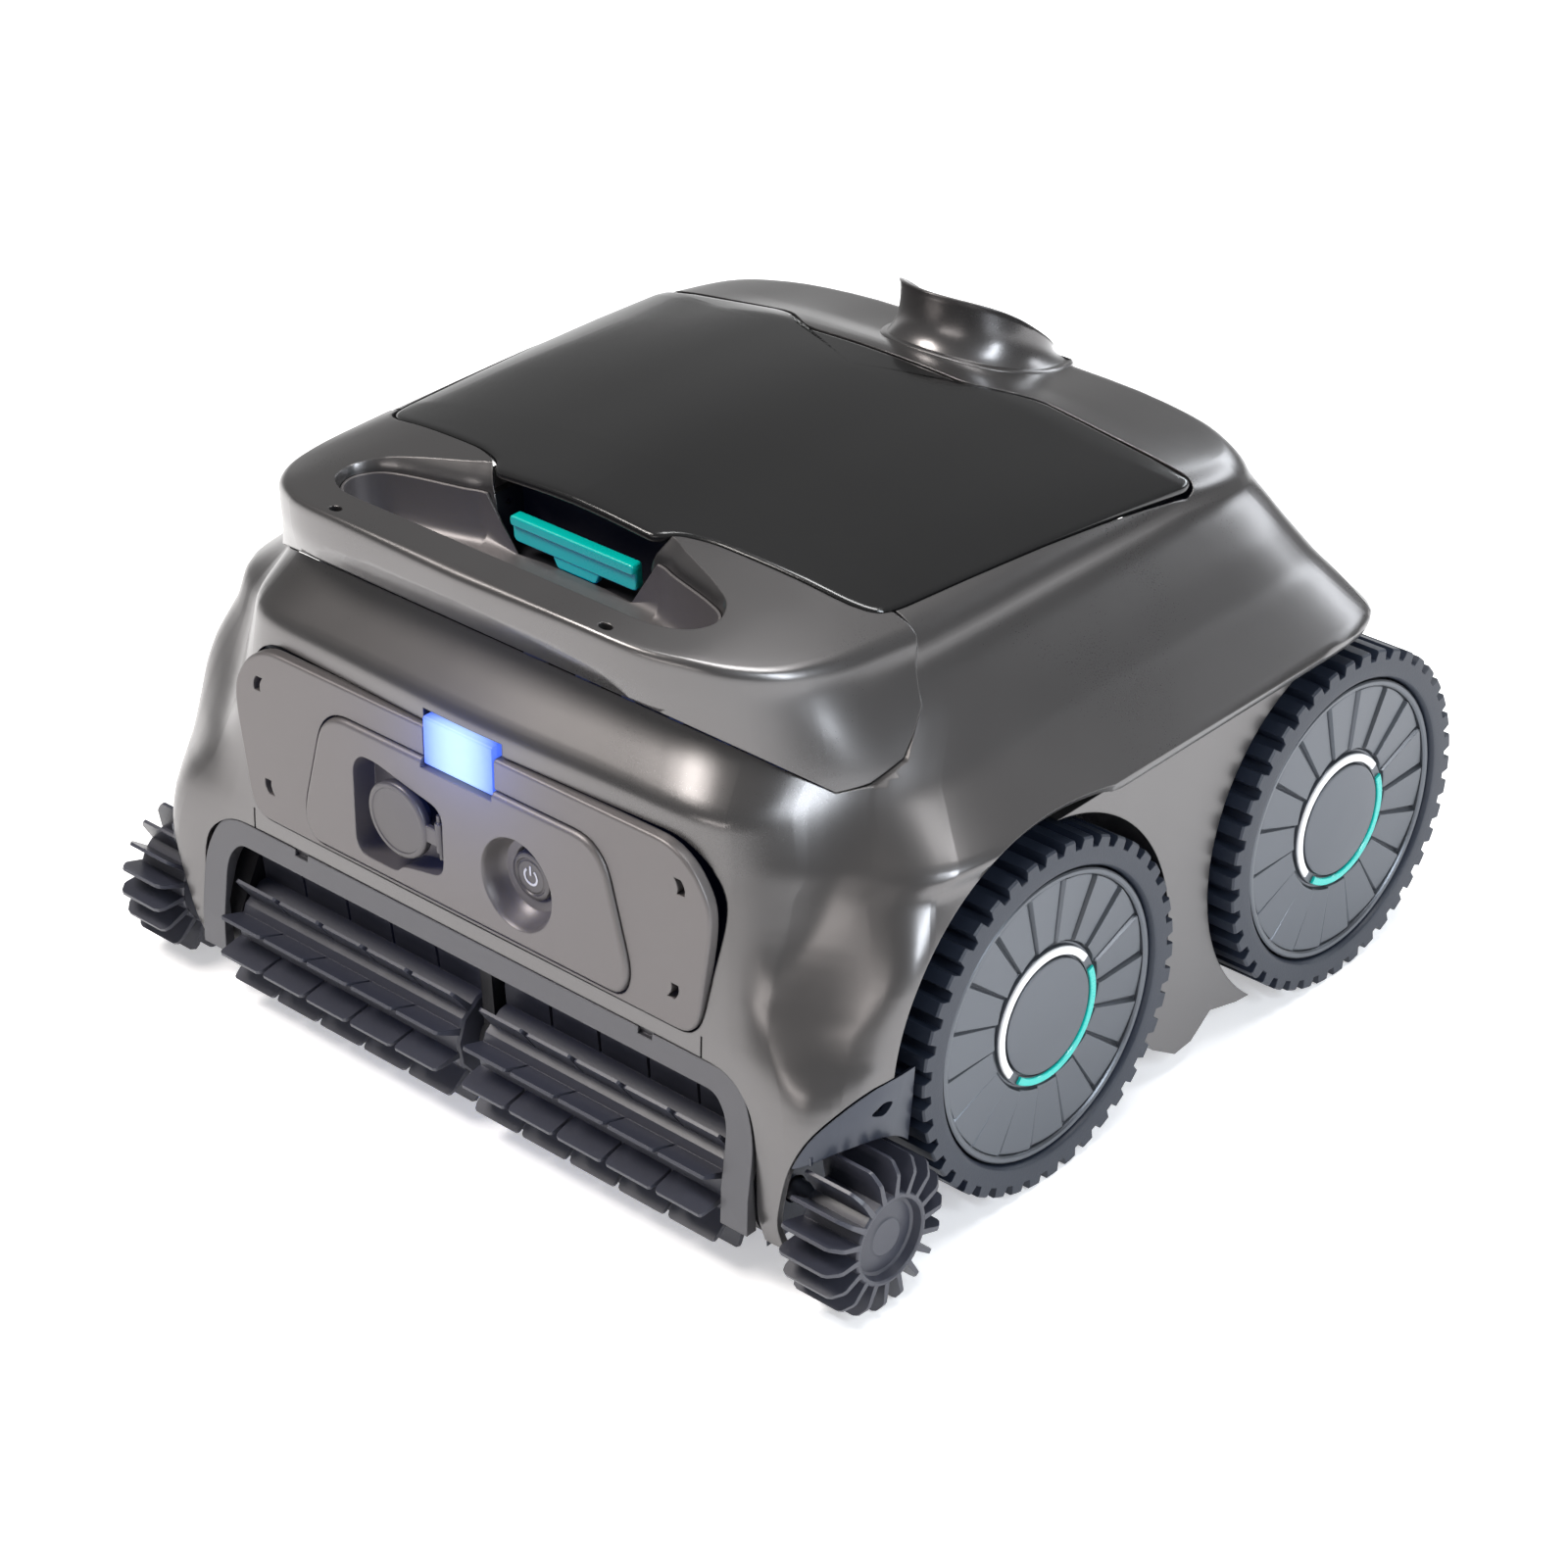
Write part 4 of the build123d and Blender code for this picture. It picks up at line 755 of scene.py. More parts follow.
def buildHandle():
    form = handleForm
    corner = np.array(form["reach"] + form["reach"][1:-1][::-1], float)
    levels = []
    for z, half in form["levels"]:
        half = np.column_stack([half, np.full(len(half), float(z))])
        levels.append(roundedRing(bothSides(half), corner, 7, 8))
    rings = roundedStack(np.array(levels), [1, 8, 8, 8, 5, 5, 1], 3, 2)
    skin = domed(rings, 5.0, 22, (-80, -40))
    rows, columns = skin.shape[:2]
    faces = gridFaces(rows, columns).tolist()
    faces.append(list(range(columns))[::-1])
    bridge = tidyMesh(newMesh("gripBridge", skin.reshape(-1, 3), faces), 0.000001)
    side = slabAlong("sideTool", "X", handleForm["side"], -250, 250)
    bridge = carved(bridge, [side], "INTERSECT")
    heights = [(190, 0.0), (247, 0.0), (251, -0.4), (254, -1.2), (256.5, -2.6), (259, -4.4), (270, -12)]
    well = np.array([np.column_stack([movedIn(recessRing, d), np.full(len(recessRing), z)]) for z, d in heights])
    tools = [closedStack("wellTool", well), slabAlong("lidHole", "Z", movedIn(lidRing, -lidForm["gap"]), 180, 320)]
    hollow = [(-88, 185), (-88, 232), (-84, 238), (-30, 244), (-20, 236), (-20, 185)]
    tools.append(slabAlong("hollow", "X", hollow, -112, 112))
    for x in (-77.3, 77.3):
        turn = np.arange(28) * 2 * math.pi / 28
        hole = np.column_stack([x + 3.4 * np.cos(turn), -107.2 + 2.2 * np.sin(turn)])
        tools.append(slabAlong("screwHole", "Z", hole, 248, 300))
    bridge = carved(bridge, tools)
    finished(bridge, "hull", finishes["gunmetal"], ["handle_bridge"], 40)
    # cup under the grip: walls down, round foot, floor to the middle
    rows = [(250.5, 0.1), (246, 0.15), (240, 0.3), (234, 0.7), (230.5, 1.8), (228.2, 3.6), (227.0, 6.0), (226.6, 9.0)]
    cup = [np.column_stack([movedIn(recessRing, d), np.full(len(recessRing), z)]) for z, d in rows]
    floor = cup[-1]
    spine = np.column_stack([np.clip(floor[:, 0], -70, 70), np.full(len(floor), -74.0), floor[:, 2]])
    cup += [floor * (1 - t) + spine * t for t in (0.35, 0.7, 1.0)]
    cup = np.array(cup)
    behind = (np.abs(cup[..., 0]) < 48) & (cup[..., 1] > -54)
    cup[..., 2] = np.where(behind, np.minimum(cup[..., 2], 227.2), cup[..., 2])
    tray = tidyMesh(newMesh("recessCup", cup.reshape(-1, 3), gridFaces(*cup.shape[:2]).tolist()), 0.000001,
                    turn=False)
    tray.data.flip_normals()
    thick = tray.modifiers.new("wall", "SOLIDIFY")
    thick.thickness = 0.0012
    thick.offset = -1
    tray = applied(tray)
    finished(tray, "hull", finishes["panelGrey"], [], 40)


def buildLid():
    # rings: underside from the spine out, edge profile, and over the crown back to the spine
    rings = []
    flat = [movedIn(lidRing, d) for d, dz in lidForm["profile"]]

    def toSpine(ring, t):
        middle = np.column_stack([np.zeros(len(ring)), np.clip(ring[:, 1], -5, 115)])
        return ring * (1 - t) + middle * t

    for t in np.linspace(1, 0, 14)[:-1]:
        ring = toSpine(flat[0], t)
        rings.append(np.column_stack([ring, roofAt(ring[:, 0], ring[:, 1]) + lidForm["profile"][0][1]]))
    for ring, (d, dz) in zip(flat, lidForm["profile"]):
        rings.append(np.column_stack([ring, roofAt(ring[:, 0], ring[:, 1]) + dz]))
    for t in np.linspace(0, 1, 26)[1:]:
        ring = toSpine(flat[-1], t)
        rings.append(np.column_stack([ring, roofAt(ring[:, 0], ring[:, 1]) + lidForm["profile"][-1][1]]))
    rings = np.array(rings)
    lid = tidyMesh(newMesh("smokedLid", rings.reshape(-1, 3), gridFaces(*rings.shape[:2]).tolist()), 0.000001)
    finished(lid, "lid", finishes["smoked"], ["lid_window"], 40)
    # frame under the glass: a band that follows the deck, and two hinge lugs at the back
    band = []
    for d, dz in ((12, -3.8), (26, -3.8), (26, -7.8), (12, -7.8)):
        flat = movedIn(lidRing, d)
        band.append(np.column_stack([flat, roofAt(flat[:, 0], flat[:, 1]) + dz]))
    band = np.array(band)
    faces = gridFaces(5, band.shape[1]) % (4 * band.shape[1])
    parts = [tidyMesh(newMesh("band", band.reshape(-1, 3), faces.tolist()), 0.000001)]
    for side in (-1, 1):
        low, high = sorted((side * 110, side * 116))
        lug = [(118, 237.5), (118, 243), (150, 239.6), (163.3, 240.6), (163.3, 237.0), (150, 236.6)]
        parts.append(slabAlong("lug", "X", lug, low, high, 0.5))
        low, high = sorted((side * 107.2, side * 118.8))
        parts.append(turned("pin", 161, 239, [(low, 1.9), (high, 1.9)], 32))
    finished(joined("lidFrame", parts), "lid", finishes["innerBlack"], ["lid_frame"], 35)
    latchBar = slabAlong("latchBar", "Y", roundedRing([(-35.5, 233), (35.5, 233), (35.5, 243.5), (-35.5, 243.5)],
                                                      3, 4, 3), -50.2, -46, 0.8)
    latchLip = slabAlong("latchLip", "Y", roundedRing([(-35.5, 240.6), (35.5, 240.6), (35.5, 245.4), (-35.5, 245.4)],
                                                      2, 4, 3), -51.8, -46, 0.9)
    latchTab = slabAlong("latchTab", "Y", roundedRing([(-11, 228), (11, 228), (14, 234), (-14, 234)], 1.5, 3, 2),
                         -49.6, -46, 0.7)
    latch = joined("latchPaddle", [latchBar, latchLip, latchTab])
    finished(latch, "latch", finishes["teal"], ["lid_latch"], 40)


def leaned(piece, proud=0.0):
    # a piece drawn with its front at y 0 laid back onto the tilted front face
    points = np.empty(len(piece.data.vertices) * 3)
    piece.data.vertices.foreach_get("co", points)
    points = points.reshape(-1, 3)
    y = points[:, 1] * 1000 - axleShift
    points[:, 1] = (y + faceY(points[:, 2] * 1000, proud) + axleShift) / 1000
    piece.data.vertices.foreach_set("co", points.reshape(-1))
    piece.data.update()
    return piece


def potAt(name, x, z, profile, steps=64):
    # profile of (radius, y) turned about an axis along Y
    t = np.arange(steps) * 2 * math.pi / steps
    rings = np.array([np.column_stack([x + r * np.cos(t), np.full(steps, y), z + r * np.sin(t)])
                      for r, y in profile])
    return closedStack(name, rings)


islandForm = {
    "half": [(0, 168), (74, 168), (84, 160), (97, 115), (92, 103), (0, 103)],
    "reach": [1, 8, 8, 9, 6, 1],
    "proud": 3.0, "depth": 15.0,
    "port": [(-63, 114), (-59, 109), (-38, 109), (-34, 113), (-12, 117), (-9, 121), (-9, 145), (-13, 149),
             (-30, 152), (-48, 156), (-58, 156), (-63, 150)],
    "charge": (-36.0, 134.0, 17.5), "button": (34.0, 131.0, 11.0, 19.5), "lamp": (20.0, 165.0, 187.0),
}


def panelSlots(side):
    # four short kidney slots near the corners of the panel
    outlines = []
    for x, z, lean in ((123.5, 164.8, -0.25), (119.7, 116.9, 0.3)):
        t = np.linspace(-3.4, 3.4, 9)
        bow = 1.1 * (1 - (t / 3.4) ** 2)
        left = np.column_stack([x + lean * t - 2.0 + bow, z + t])
        right = np.column_stack([x + lean * t + 2.0 + bow, z + t])[::-1]
        ring = np.concatenate([left, right])
        ring[:, 0] *= side
        outlines.append(ring)
    return outlines


def buildFront():
    form = islandForm
    ring = halfRing(form)[::-1]
    face = slabAlong("frontPanel", "Y", movedIn(panelRing, 0.9), 0, 6, 1.5)
    cut = [slabAlong("islandGap", "Y", movedIn(ring, -0.9), -20, 40)]
    for side in (-1, 1):
        cut += [slabAlong("slot", "Y", outline, -20, 40) for outline in panelSlots(side)]
    half, low, high = form["lamp"]
    cut.append(blockOf("lampGap", -half - 1, half + 1, -20, 40, low - 1, high + 4))
    face = leaned(carved(face, cut), 1.0)
    finished(face, "hull", finishes["panelGrey"], ["front_panel"], 35)

    plate = slabAlong("panelIsland", "Y", ring, 0, form["depth"] + 3, 2.4)
    cx, cz, cr = form["charge"]
    bx, bz, br, well = form["button"]
    pocket = roundedRing(form["port"], 4, 4, 3)
    cut = [slabAlong("pocketTool", "Y", pocket, -20, form["proud"] + 9),
           potAt("plugHole", cx, cz, [(9.0, -20), (9.0, 60)]),
           potAt("wellTool", bx, bz, [(well + 1.6, -20), (well + 1.2, -0.2), (well, 1.6), (well - 1.0, 7.0),
                                      (well - 3.6, 10.2), (br + 1.4, 11.0), (br + 1.2, 11.2), (br + 0.35, 12.0),
                                      (br + 0.35, 60)], 96),
           blockOf("lampGap", -half - 1, half + 1, -20, 60, low - 1, high + 4)]
    plate = leaned(carved(plate, cut), form["proud"])
    finished(plate, "hull", finishes["panelGrey"], ["panel_island"], 35)

    front = faceY(cz, 4.0)
    cap = potAt("capDisc", cx, cz, [(7.2, front + 13), (7.2, front + 5.2), (cr - 1.6, front + 5.0),
                                    (cr - 0.2, front + 4.2), (cr, front + 3.0), (cr, front + 1.3),
                                    (cr - 0.4, front + 0.5), (cr - 1.3, front), (cr - 2.6, front + 0.1),
                                    (cr - 3.0, front + 0.45), (cr - 5.0, front + 0.5), (1.0, front + 0.3)], 72)
    hingeX, hingeY = cx + cr + 6, faceY(cz, 1.0)
    strap = slabAlong("strap", "Z", roundedRing([(cx + 12, front + 0.9), (hingeX, front + 0.9),
                                                 (hingeX, front + 3.6), (cx + 12, front + 3.6)], 0.8, 3, 1),
                      cz - 4, cz + 4, 0.6)
    turn = np.arange(28) * 2 * math.pi / 28
    barrel = np.column_stack([hingeX + 2 * np.cos(turn), hingeY + 2 * np.sin(turn)])
    pin = np.column_stack([hingeX + np.cos(turn), hingeY + np.sin(turn)])
    cap = joined("chargeCap", [cap, strap, slabAlong("barrel", "Z", barrel, cz - 7, cz + 7, 0.4),
                               slabAlong("pin", "Z", pin, cz - 10.4, cz + 10.4)])
    finished(cap, "charge_flap", finishes["capGrey"], ["charge_cap"], 35)

    y = faceY(bz) + 5
    key = potAt("powerKey", bx, bz, [(br, y + 16), (br, y + 1.4), (br - 0.5, y + 0.4), (br - 1.4, y),
                                     (br - 2.4, y), (br - 2.9, y + 0.6), (br - 3.4, y + 0.6), (br - 4.0, y + 0.2),
                                     (1.0, y + 0.5)], 72)
    arc = np.radians(np.linspace(125, 415, 31))
    ringOut = np.column_stack([bx + 4.1 * np.cos(arc), bz + 4.1 * np.sin(arc)])
    ringIn = np.column_stack([bx + 3.1 * np.cos(arc), bz + 3.1 * np.sin(arc)])[::-1]
    mark = joined("powerMark", [
        slabAlong("powerArc", "Y", np.concatenate([ringOut, ringIn]), y + 0.1, y + 0.9),
        blockOf("powerBar", bx - 0.5, bx + 0.5, y + 0.1, y + 0.9, bz + 0.6, bz + 5.0)])
    finished(key, "power_key", finishes["capGrey"], ["power_button"], 35)
    finished(mark, "power_key", finishes["markGrey"], [], 35)

    lens = leaned(blockOf("lampLens", -half, half, 0, 6, low, high, 1.2), 1.2)
    finished(lens, "hull", finishes["lamp"], ["led_lens"], 35)


# wheels: every radius and x below is for the right side
wheelForm = {
    "lugs": 42, "perLug": 12, "lug": 4.3, "share": 0.56,
    "tyre": [(203.5, 64.3, 0), (206.6, 64.9, 0), (207.8, 65.9, 0), (208.1, 67.2, 0), (208.1, 71.6, 0),
             (208.1, 73.2, 0.9), (207.3, 73.6, 1.0), (187.2, 73.6, 1.0), (167.2, 73.6, 1.0), (166.4, 73.2, 0.9),
             (166.3, 71.6, 0), (166.3, 66.0, 0), (168.0, 64.3, 0)],
    "slats": 18, "perSlat": 16,
    "cap": 25.4, "ring": 30.4, "slatLow": 32.4, "slatHigh": 60.4, "rim": 63.6,
    "arcs": (("white", 35, 215), ("teal", -130, 20)),
}


def buildTyre(name):
    form = wheelForm
    columns = form["lugs"] * form["perLug"]
    phase = (np.arange(columns) % form["perLug"]) / form["perLug"]
    lift = np.clip((form["share"] / 2 - np.abs(phase - 0.5)) / 0.05 + 0.5, 0, 1) * form["lug"]
    t = np.arange(columns) * 2 * math.pi / columns
    rings = []
    for x, radius, share in form["tyre"]:
        r = radius + lift * share
        rings.append(np.column_stack([np.full(columns, x), r * np.cos(t), axleHeight + r * np.sin(t)]))
    rings = np.array(rings)
    rows = len(rings)
    faces = gridFaces(rows + 1, columns) % (rows * columns)
    return tidyMesh(newMesh(name, rings.reshape(-1, 3), faces.tolist()), 0.00001)


def buildHub(name, reachIn):
    form = wheelForm
    columns = form["slats"] * form["perSlat"]
    step = (np.arange(columns) % form["perSlat"]) / form["perSlat"]
    t = np.arange(columns) * 2 * math.pi / columns
    saw = np.where(step < 0.06, -1.6, step * 1.5 - 0.2)
    cap, ring, low, high, rim = (form[k] for k in ("cap", "ring", "slatLow", "slatHigh", "rim"))
    rows = [(0.3, 206.9, 0), (cap * 0.5, 206.8, 0), (cap - 1.2, 206.5, 0), (cap - 0.3, 206.1, 0), (cap, 205.6, 0),
            (cap + 0.1, 204.0, 0), (cap + 0.8, 204.0, 0), (cap + 0.9, 205.2, 0), (ring - 0.2, 205.2, 0),
            (ring, 204.9, 0), (ring + 0.1, 203.4, 0), (ring + 1.0, 203.4, 0), (low - 0.2, 204.4, 0.0),
            (low, 204.6, 1.0), (low + 1.0, 204.9, 1.0), (high - 1.2, 204.9, 1.0), (high - 0.2, 204.6, 1.0),
            (high, 204.0, 0), (high + 0.2, 205.6, 0), (high + 0.9, 206.3, 0), (rim - 0.8, 206.5, 0),
            (rim, 206.0, 0), (rim + 0.1, 199.0, 0), (rim, 192.0, 0), (rim - 3.0, 190.0, 0), (rim - 4.0, 198.0, 0),
            (20.0, 199.5, 0), (14.0, 198.5, 0), (9.0, 197.5, 0), (9.0, reachIn, 0), (0.3, reachIn, 0)]
    rings = []
    for radius, x, share in rows:
        rings.append(np.column_stack([x + saw * share * 0.75, radius * np.cos(t), axleHeight + radius * np.sin(t)]))
    return closedStack(name, np.array(rings))


def buildArc(name, first, last):
    low, high = wheelForm["cap"] + 1.2, wheelForm["ring"] - 0.4
    t = np.radians(np.linspace(first, last, int(abs(last - first) / 2.5)))
    section = [(low, 204.9), (low, 205.9), (low + 0.35, 206.3), (high - 0.35, 206.3), (high, 205.9), (high, 204.9)]
    rings = np.array([[[x, r * math.cos(a), axleHeight + r * math.sin(a)] for r, x in section] for a in t])
    return closedStack(name, rings)


def shiftedBy(piece, y):
    piece.data.transform(Matrix.Translation((0, y / 1000, 0)))
    return piece


def buildWheels():
    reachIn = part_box("front_right_hub")[0].x * 1000 + 0.2
    tyre, hub = buildTyre("tyreTool"), buildHub("hubTool", reachIn)
    arcs = [buildArc("arc" + colour, first, last) for colour, first, last in wheelForm["arcs"]]
    for side in ("right", "left"):
        for place, y in (("front", 0), ("rear", wheelBase)):
            body = f"{place}_{side}_wheel"
            label = place + side.capitalize()
            for source, kind, slot, finish, nodes in (
                    (tyre, "Tyre", "navy", "tyreNavy", [f"{place}_{side}_tyre"]),
                    (hub, "Hub", "hub", "hubGrey", [f"{place}_{side}_hub"]),
                    (arcs[0], "WhiteArc", "hub", "arcWhite", []),
                    (arcs[1], "TealArc", "teal", "teal", [])):
                copy = copyOf(source, label + kind) if side == "right" else mirrored(source, label + kind)
                finished(shiftedBy(copy, y), body, finishes[finish], nodes, 30)
    for source in [tyre, hub] + arcs:
        bpy.data.objects.remove(source)


brushForm = {
    "blades": 12, "columns": 5, "slit": 1.3, "low": 6.0, "high": 147.0, "core": 22.0, "tip": 34.2,
    "thin": 0.75, "thick": 1.7, "lean": 2.6,
    "sideBlades": 18, "drum": 20.0,
    "sideProfile": [(187.2, 19.0), (187.2, 30.6), (188.2, 33.2), (190.4, 34.2), (211.6, 34.2), (213.6, 33.4),
                    (216.6, 29.8), (217.3, 28.2), (217.3, 19.0)],
}


def bladeStack(name, outlines, angles, thicknesses):
    # every outline (x, radius) given a thickness and stood out from the axis at each angle
    points, faces, start = [], [], 0
    for outline, thickness in zip(outlines, thicknesses):
        outline = np.asarray(outline, float)
        n = len(outline)
        taper = np.interp(outline[:, 1], [19, 34.3], thickness)
        for angle in angles:
            out = np.array([math.cos(angle), math.sin(angle)])
            across = np.array([-math.sin(angle), math.cos(angle)])
            for sign in (-1, 1):
                flat = outline[:, 1:2] * out + sign * taper[:, None] / 2 * across
                points.append(np.column_stack([outline[:, 0], flat[:, 0], brushZ + flat[:, 1]]))
            front = [start + k for k in range(n)]
            back = [start + n + k for k in range(n)]
            faces += [front[::-1], back]
            faces += [[front[k], front[(k + 1) % n], back[(k + 1) % n], back[k]] for k in range(n)]
            start += 2 * n
    points = np.concatenate(points)
    points[:, 1] += brushY
    return tidyMesh(newMesh(name, points, faces), 0.000001)


def buildBrushes():
    form = brushForm
    pitch = (form["high"] - form["low"]) / form["columns"]
    outlines = []
    for column in range(form["columns"]):
        a = form["low"] + column * pitch + form["slit"] / 2
        b = a + pitch - form["slit"]
        lean = form["lean"]
        outlines.append([(a, 21.0), (a + lean * 0.2, 31.0), (a + lean * 0.5, 33.4), (a + lean, form["tip"]),
                         (b - 1.2, form["tip"]), (b - 0.3, 33.5), (b, 32.2), (b, 21.0)])
    rollerAngles = [k * 2 * math.pi / form["blades"] + 0.12 for k in range(form["blades"])]
    sideAngles = [k * 2 * math.pi / form["sideBlades"] for k in range(form["sideBlades"])]
    thick = (2 * form["thick"], 2 * form["thin"])
    blades = bladeStack("blades", outlines, rollerAngles, [thick] * len(outlines))
    core = turned("core", brushY, brushZ, [(6, 8.2), (6, 20.6), (7.2, 22), (145.8, 22), (147, 20.6), (147, 8.2)],
                  form["blades"], math.degrees(0.12) + 15)
    roller = joined("rollerTool", [blades, core])
    sideBlades = bladeStack("sideBlades", [form["sideProfile"]], sideAngles, [(2.6, 1.5)])
    drum = turned("drum", brushY, brushZ, [(187.2, 8.4), (187.2, 19.4), (188.0, 20), (216.4, 20), (217.2, 19.4),
                                           (217.3, 18.4), (216.8, 17.6), (213.2, 16.8), (212.6, 15.6),
                                           (213.4, 9.0), (214.2, 7.8), (214.2, 1.0)], 72)
    sideBrush = joined("sideTool", [sideBlades, drum])
    for side in ("right", "left"):
        for source, kind, node in ((roller, "Roller", "roller"), (sideBrush, "SideBrush", "side_brush")):
            name = side + kind
            copy = copyOf(source, name) if side == "right" else mirrored(source, name)
            finished(copy, f"{side}_brush", finishes["bladeGrey"], [f"{side}_{node}"], 30)
    for source in (roller, sideBrush):
        bpy.data.objects.remove(source)


frameForm = {
    "outer": [(165, 10), (165, 69), (157, 87), (145.5, 91), (-145.5, 91), (-157, 87), (-165, 69), (-165, 10)],
    "outerReach": [1, 11, 9, 5, 5, 9, 11, 1],
    "inner": [(150.5, -10), (150.5, 71), (143, 80.5), (-143, 80.5), (-150.5, 71), (-150.5, -10)],
    "innerReach": [1, 9, 5, 5, 9, 1],
    "skin": [(-135, 26), (-133.7, 42), (-124.3, 91), (-70, 91), (-70, 80.5), (-118, 80.5), (-129.6, 50),
             (-129.6, 26)],
}


def buildFrame():
    form = frameForm
    outer = slabAlong("rollerFrame", "Y", roundedRing(form["outer"], form["outerReach"], 5, 3), -142, -60)
    inner = slabAlong("innerTool", "Y", roundedRing(form["inner"], form["innerReach"], 5, 3), -150, -50)
    skin = slabAlong("skinTool", "X", form["skin"], -170, 170)
    frame = carved(outer, [inner])
    frame = carved(frame, [skin], "INTERSECT")
    tools = []
    for side in (-1, 1):
        x0, x1 = sorted((side * 146.5, side * 180))
        tools.append(blockOf("sideTool", x0, x1, -112, -50, 70, 95))
        x0, x1 = sorted((side * 99, side * 107))
        tools.append(blockOf("notch", x0, x1, -130, -122.6, 88.2, 96))
    frame = bevelled(carved(frame, tools), 0.8, 40)
    finished(frame, "hull", finishes["frameGrey"], ["roller_frame"], 35)


def buildShrouds():
    # black corner caps under the fender feet, over the side brushes
    line = [(176.8, 20), (176.8, 34), (183.8, 62), (190.8, 79), (200.6, 92.4), (206.0, 97.6), (240, 97.6), (240, 20)]
    keep = slabAlong("keepTool", "Y", roundedRing(line, 6, 3, 1), -134, -80)
    cap = skinSolid("cornerTool")
    cap = carved(cap, [drawnIn(cap, "innerTool")])
    cap = carved(cap, [keep], "INTERSECT")
    hole = roundedRing([(-103, 84), (-96, 88), (-91, 86), (-96, 81)], 2.4, 4, 2)
    cap = carved(cap, [turned("brushTool", brushY, brushZ, [(150, 37.5), (250, 37.5)], 96),
                       slabAlong("hole", "X", hole, 150, 240)])
    for side in ("right", "left"):
        copy = copyOf(cap, "rightCornerCap") if side == "right" else mirrored(cap, "leftCornerCap")
        finished(copy, "hull", finishes["shroudNavy"], [], 35)
    bpy.data.objects.remove(cap)


buildShell()
print("shell made")
buildNozzle()
buildHandle()
buildLid()
print("lid and grip made")
buildFront()
print("front made")
buildWheels()
print("wheels made")
buildBrushes()
buildFrame()
print("brushes and frame made")
buildShrouds()
print("corner caps made")


# CAD nodes that stay in view, by the finish they get
carried = {
    "gunmetal": ["right_side_skirt", "left_side_skirt"],
    "innerBlack": ["recess_tray", "chassis_tub", "intake_plate", "centre_bracket", "charge_socket",
                   "right_gear_cover", "left_gear_cover", "right_side_plate", "left_side_plate", "motor_box"],
    "shroudNavy": ["right_brush_shroud", "left_brush_shroud"],
    "bladeGrey": ["inlet_flap"],
    "gearIvory": ["pump_impeller", "right_centre_gear", "left_centre_gear", "right_brush_idler", "left_brush_idler",
                  "front_right_wheel_gear", "front_left_wheel_gear", "rear_right_wheel_gear",
                  "rear_left_wheel_gear"],
    "steel": ["cover_screws", "pump_motor", "right_drive_motor", "left_drive_motor", "right_drive_pinion",
              "left_drive_pinion", "right_brush_shaft", "left_brush_shaft"],
    "batteryWrap": ["battery_pack"],
    "boardGreen": ["control_board"],
    "filterGrey": ["filter_basket"],
}


def dressCarried():
    for finishName, nodes in carried.items():
        for node in nodes:
            piece = frame["nodes"][node]
            piece.data.materials.clear()
            piece.data.materials.append(finishes[finishName])


dressCarried()
print("carried nodes dressed")


studio = {
    "lens": 92.978, "azimuth": 44.357, "elevation": 31.029, "roll": -2.391,
    "camera": (1.068295, -1.092854, 0.996094),
}


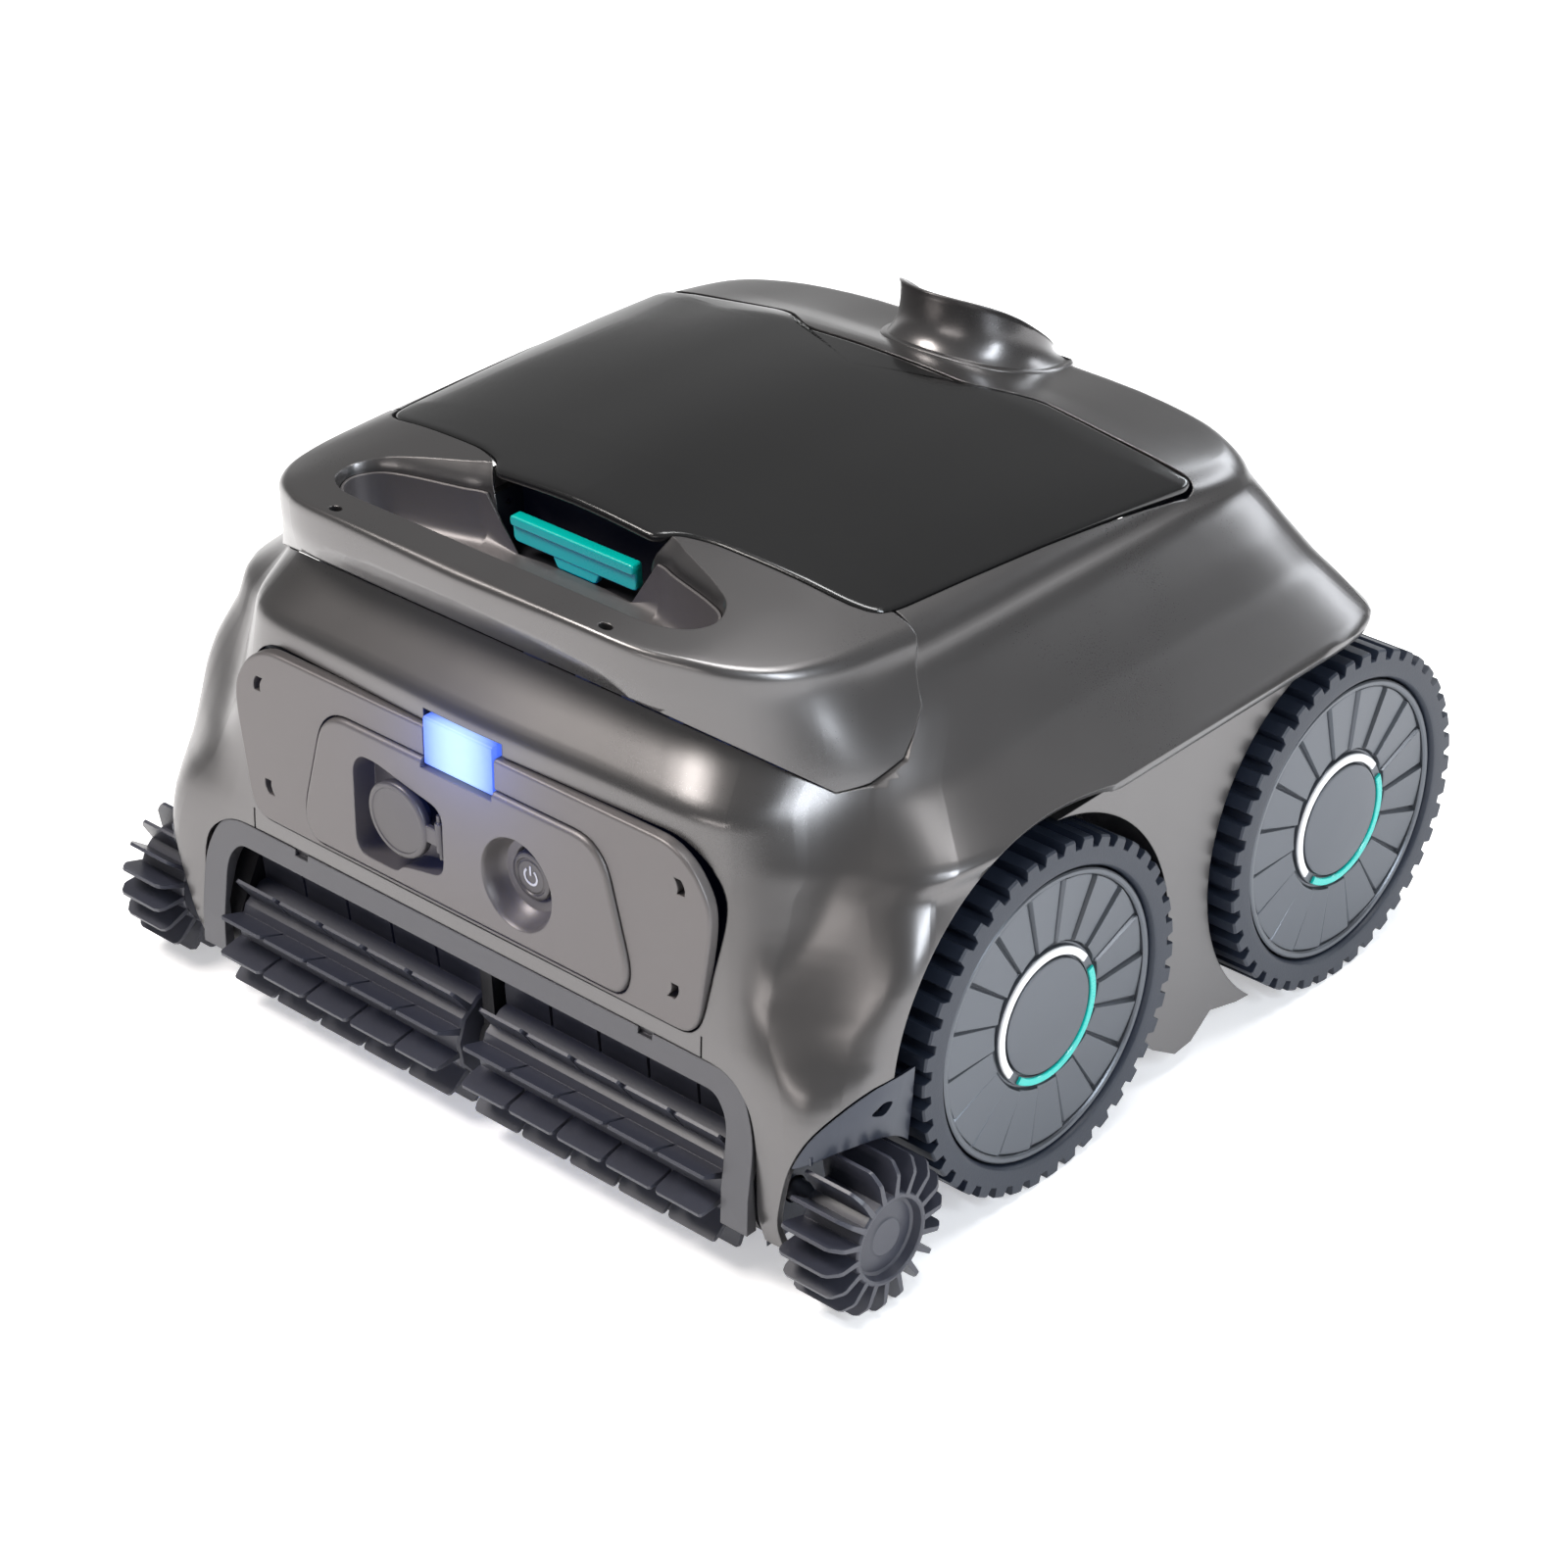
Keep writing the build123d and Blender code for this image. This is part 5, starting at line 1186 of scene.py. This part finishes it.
def buildStudio():
    a, e, r = (math.radians(studio[k]) for k in ("azimuth", "elevation", "roll"))
    back = np.array([math.sin(a) * math.cos(e), -math.cos(a) * math.cos(e), math.sin(e)])
    right = np.array([math.cos(a), math.sin(a), 0.0])
    up = np.cross(back, right)
    level, tilted = right * math.cos(r) + up * math.sin(r), up * math.cos(r) - right * math.sin(r)
    pose = Matrix.Identity(4)
    for k, axis in enumerate((level, tilted, back)):
        for row in range(3):
            pose[row][k] = axis[row]
    for row in range(3):
        pose[row][3] = studio["camera"][row]
    lens = bpy.data.cameras.new("studioCamera")
    lens.lens = studio["lens"]
    lens.sensor_width = 36
    camera = bpy.data.objects.new("studioCamera", lens)
    camera.matrix_world = pose
    bpy.context.scene.collection.objects.link(camera)
    bpy.context.scene.camera = camera

    floor = newMesh("studioFloor", [(-6000, -6000, 0), (6000, -6000, 0), (6000, 6000, 0), (-6000, 6000, 0)],
                    [(0, 1, 2, 3)])
    paper = Finish("paleFloor")
    mottle = paper.noise(3.0, 2.0)
    paper.drive("Base Color", paper.mixed(mottle, (0.90, 0.90, 0.905), (0.93, 0.93, 0.93)))
    paper.constant(Roughness=0.8, Emission_Strength=0.42)
    paper.shader.inputs["Emission Color"].default_value = (1.0, 1.0, 1.0, 1)
    floor.data.materials.append(paper.material)

    lights = (("keySoft", (-0.75, -0.9, 1.7), (0, 0, 0.12), 0.7, 0.7, 34, (1.0, 0.95, 0.91)),
              ("sideSoft", (1.7, -0.2, 1.0), (0.1, 0, 0.1), 0.3, 1.1, 20, (0.86, 0.93, 1.0)),
              ("frontSoft", (0.3, -1.9, 0.5), (0, 0, 0.1), 1.2, 0.2, 4, (1.0, 0.95, 0.92)),
              ("topStrip", (0.1, 0.45, 1.9), (0, 0, 0.15), 1.5, 0.35, 26, (1.0, 1.0, 1.0)),
              ("rearStrip", (0.2, 1.7, 0.9), (0, 0, 0.15), 1.6, 0.3, 12, (0.90, 0.95, 1.0)),
              ("lampGlow", (0.0, -0.215, 0.185), (0, -0.18, 0.175), 0.045, 0.02, 0.05, (0.10, 0.20, 1.0)))
    for name, spot, aim, width, height, power, tint in lights:
        area = bpy.data.lights.new(name, "AREA")
        area.shape = "RECTANGLE"
        area.size, area.size_y = width, height
        area.energy = power
        area.color = tint
        area.use_shadow = name != "lampGlow"
        lamp = bpy.data.objects.new(name, area)
        away = np.array(spot) - np.array(aim)
        away = away / np.linalg.norm(away)
        side = np.cross((0, 0, 1), away)
        side = side / np.linalg.norm(side)
        turn = Matrix.Identity(4)
        for k, axis in enumerate((side, np.cross(away, side), away)):
            for row in range(3):
                turn[row][k] = axis[row]
        for row in range(3):
            turn[row][3] = spot[row]
        lamp.matrix_world = turn
        lamp.visible_camera = False
        lamp.visible_glossy = name != "lampGlow"
        bpy.context.scene.collection.objects.link(lamp)
    world = bpy.data.worlds.new("studioWorld")
    world.use_nodes = True
    world.node_tree.nodes["Background"].inputs["Color"].default_value = (1.0, 1.0, 1.0, 1)
    world.node_tree.nodes["Background"].inputs["Strength"].default_value = 0.24
    bpy.context.scene.world = world
    bpy.context.scene.view_settings.view_transform = "Standard"


buildStudio()
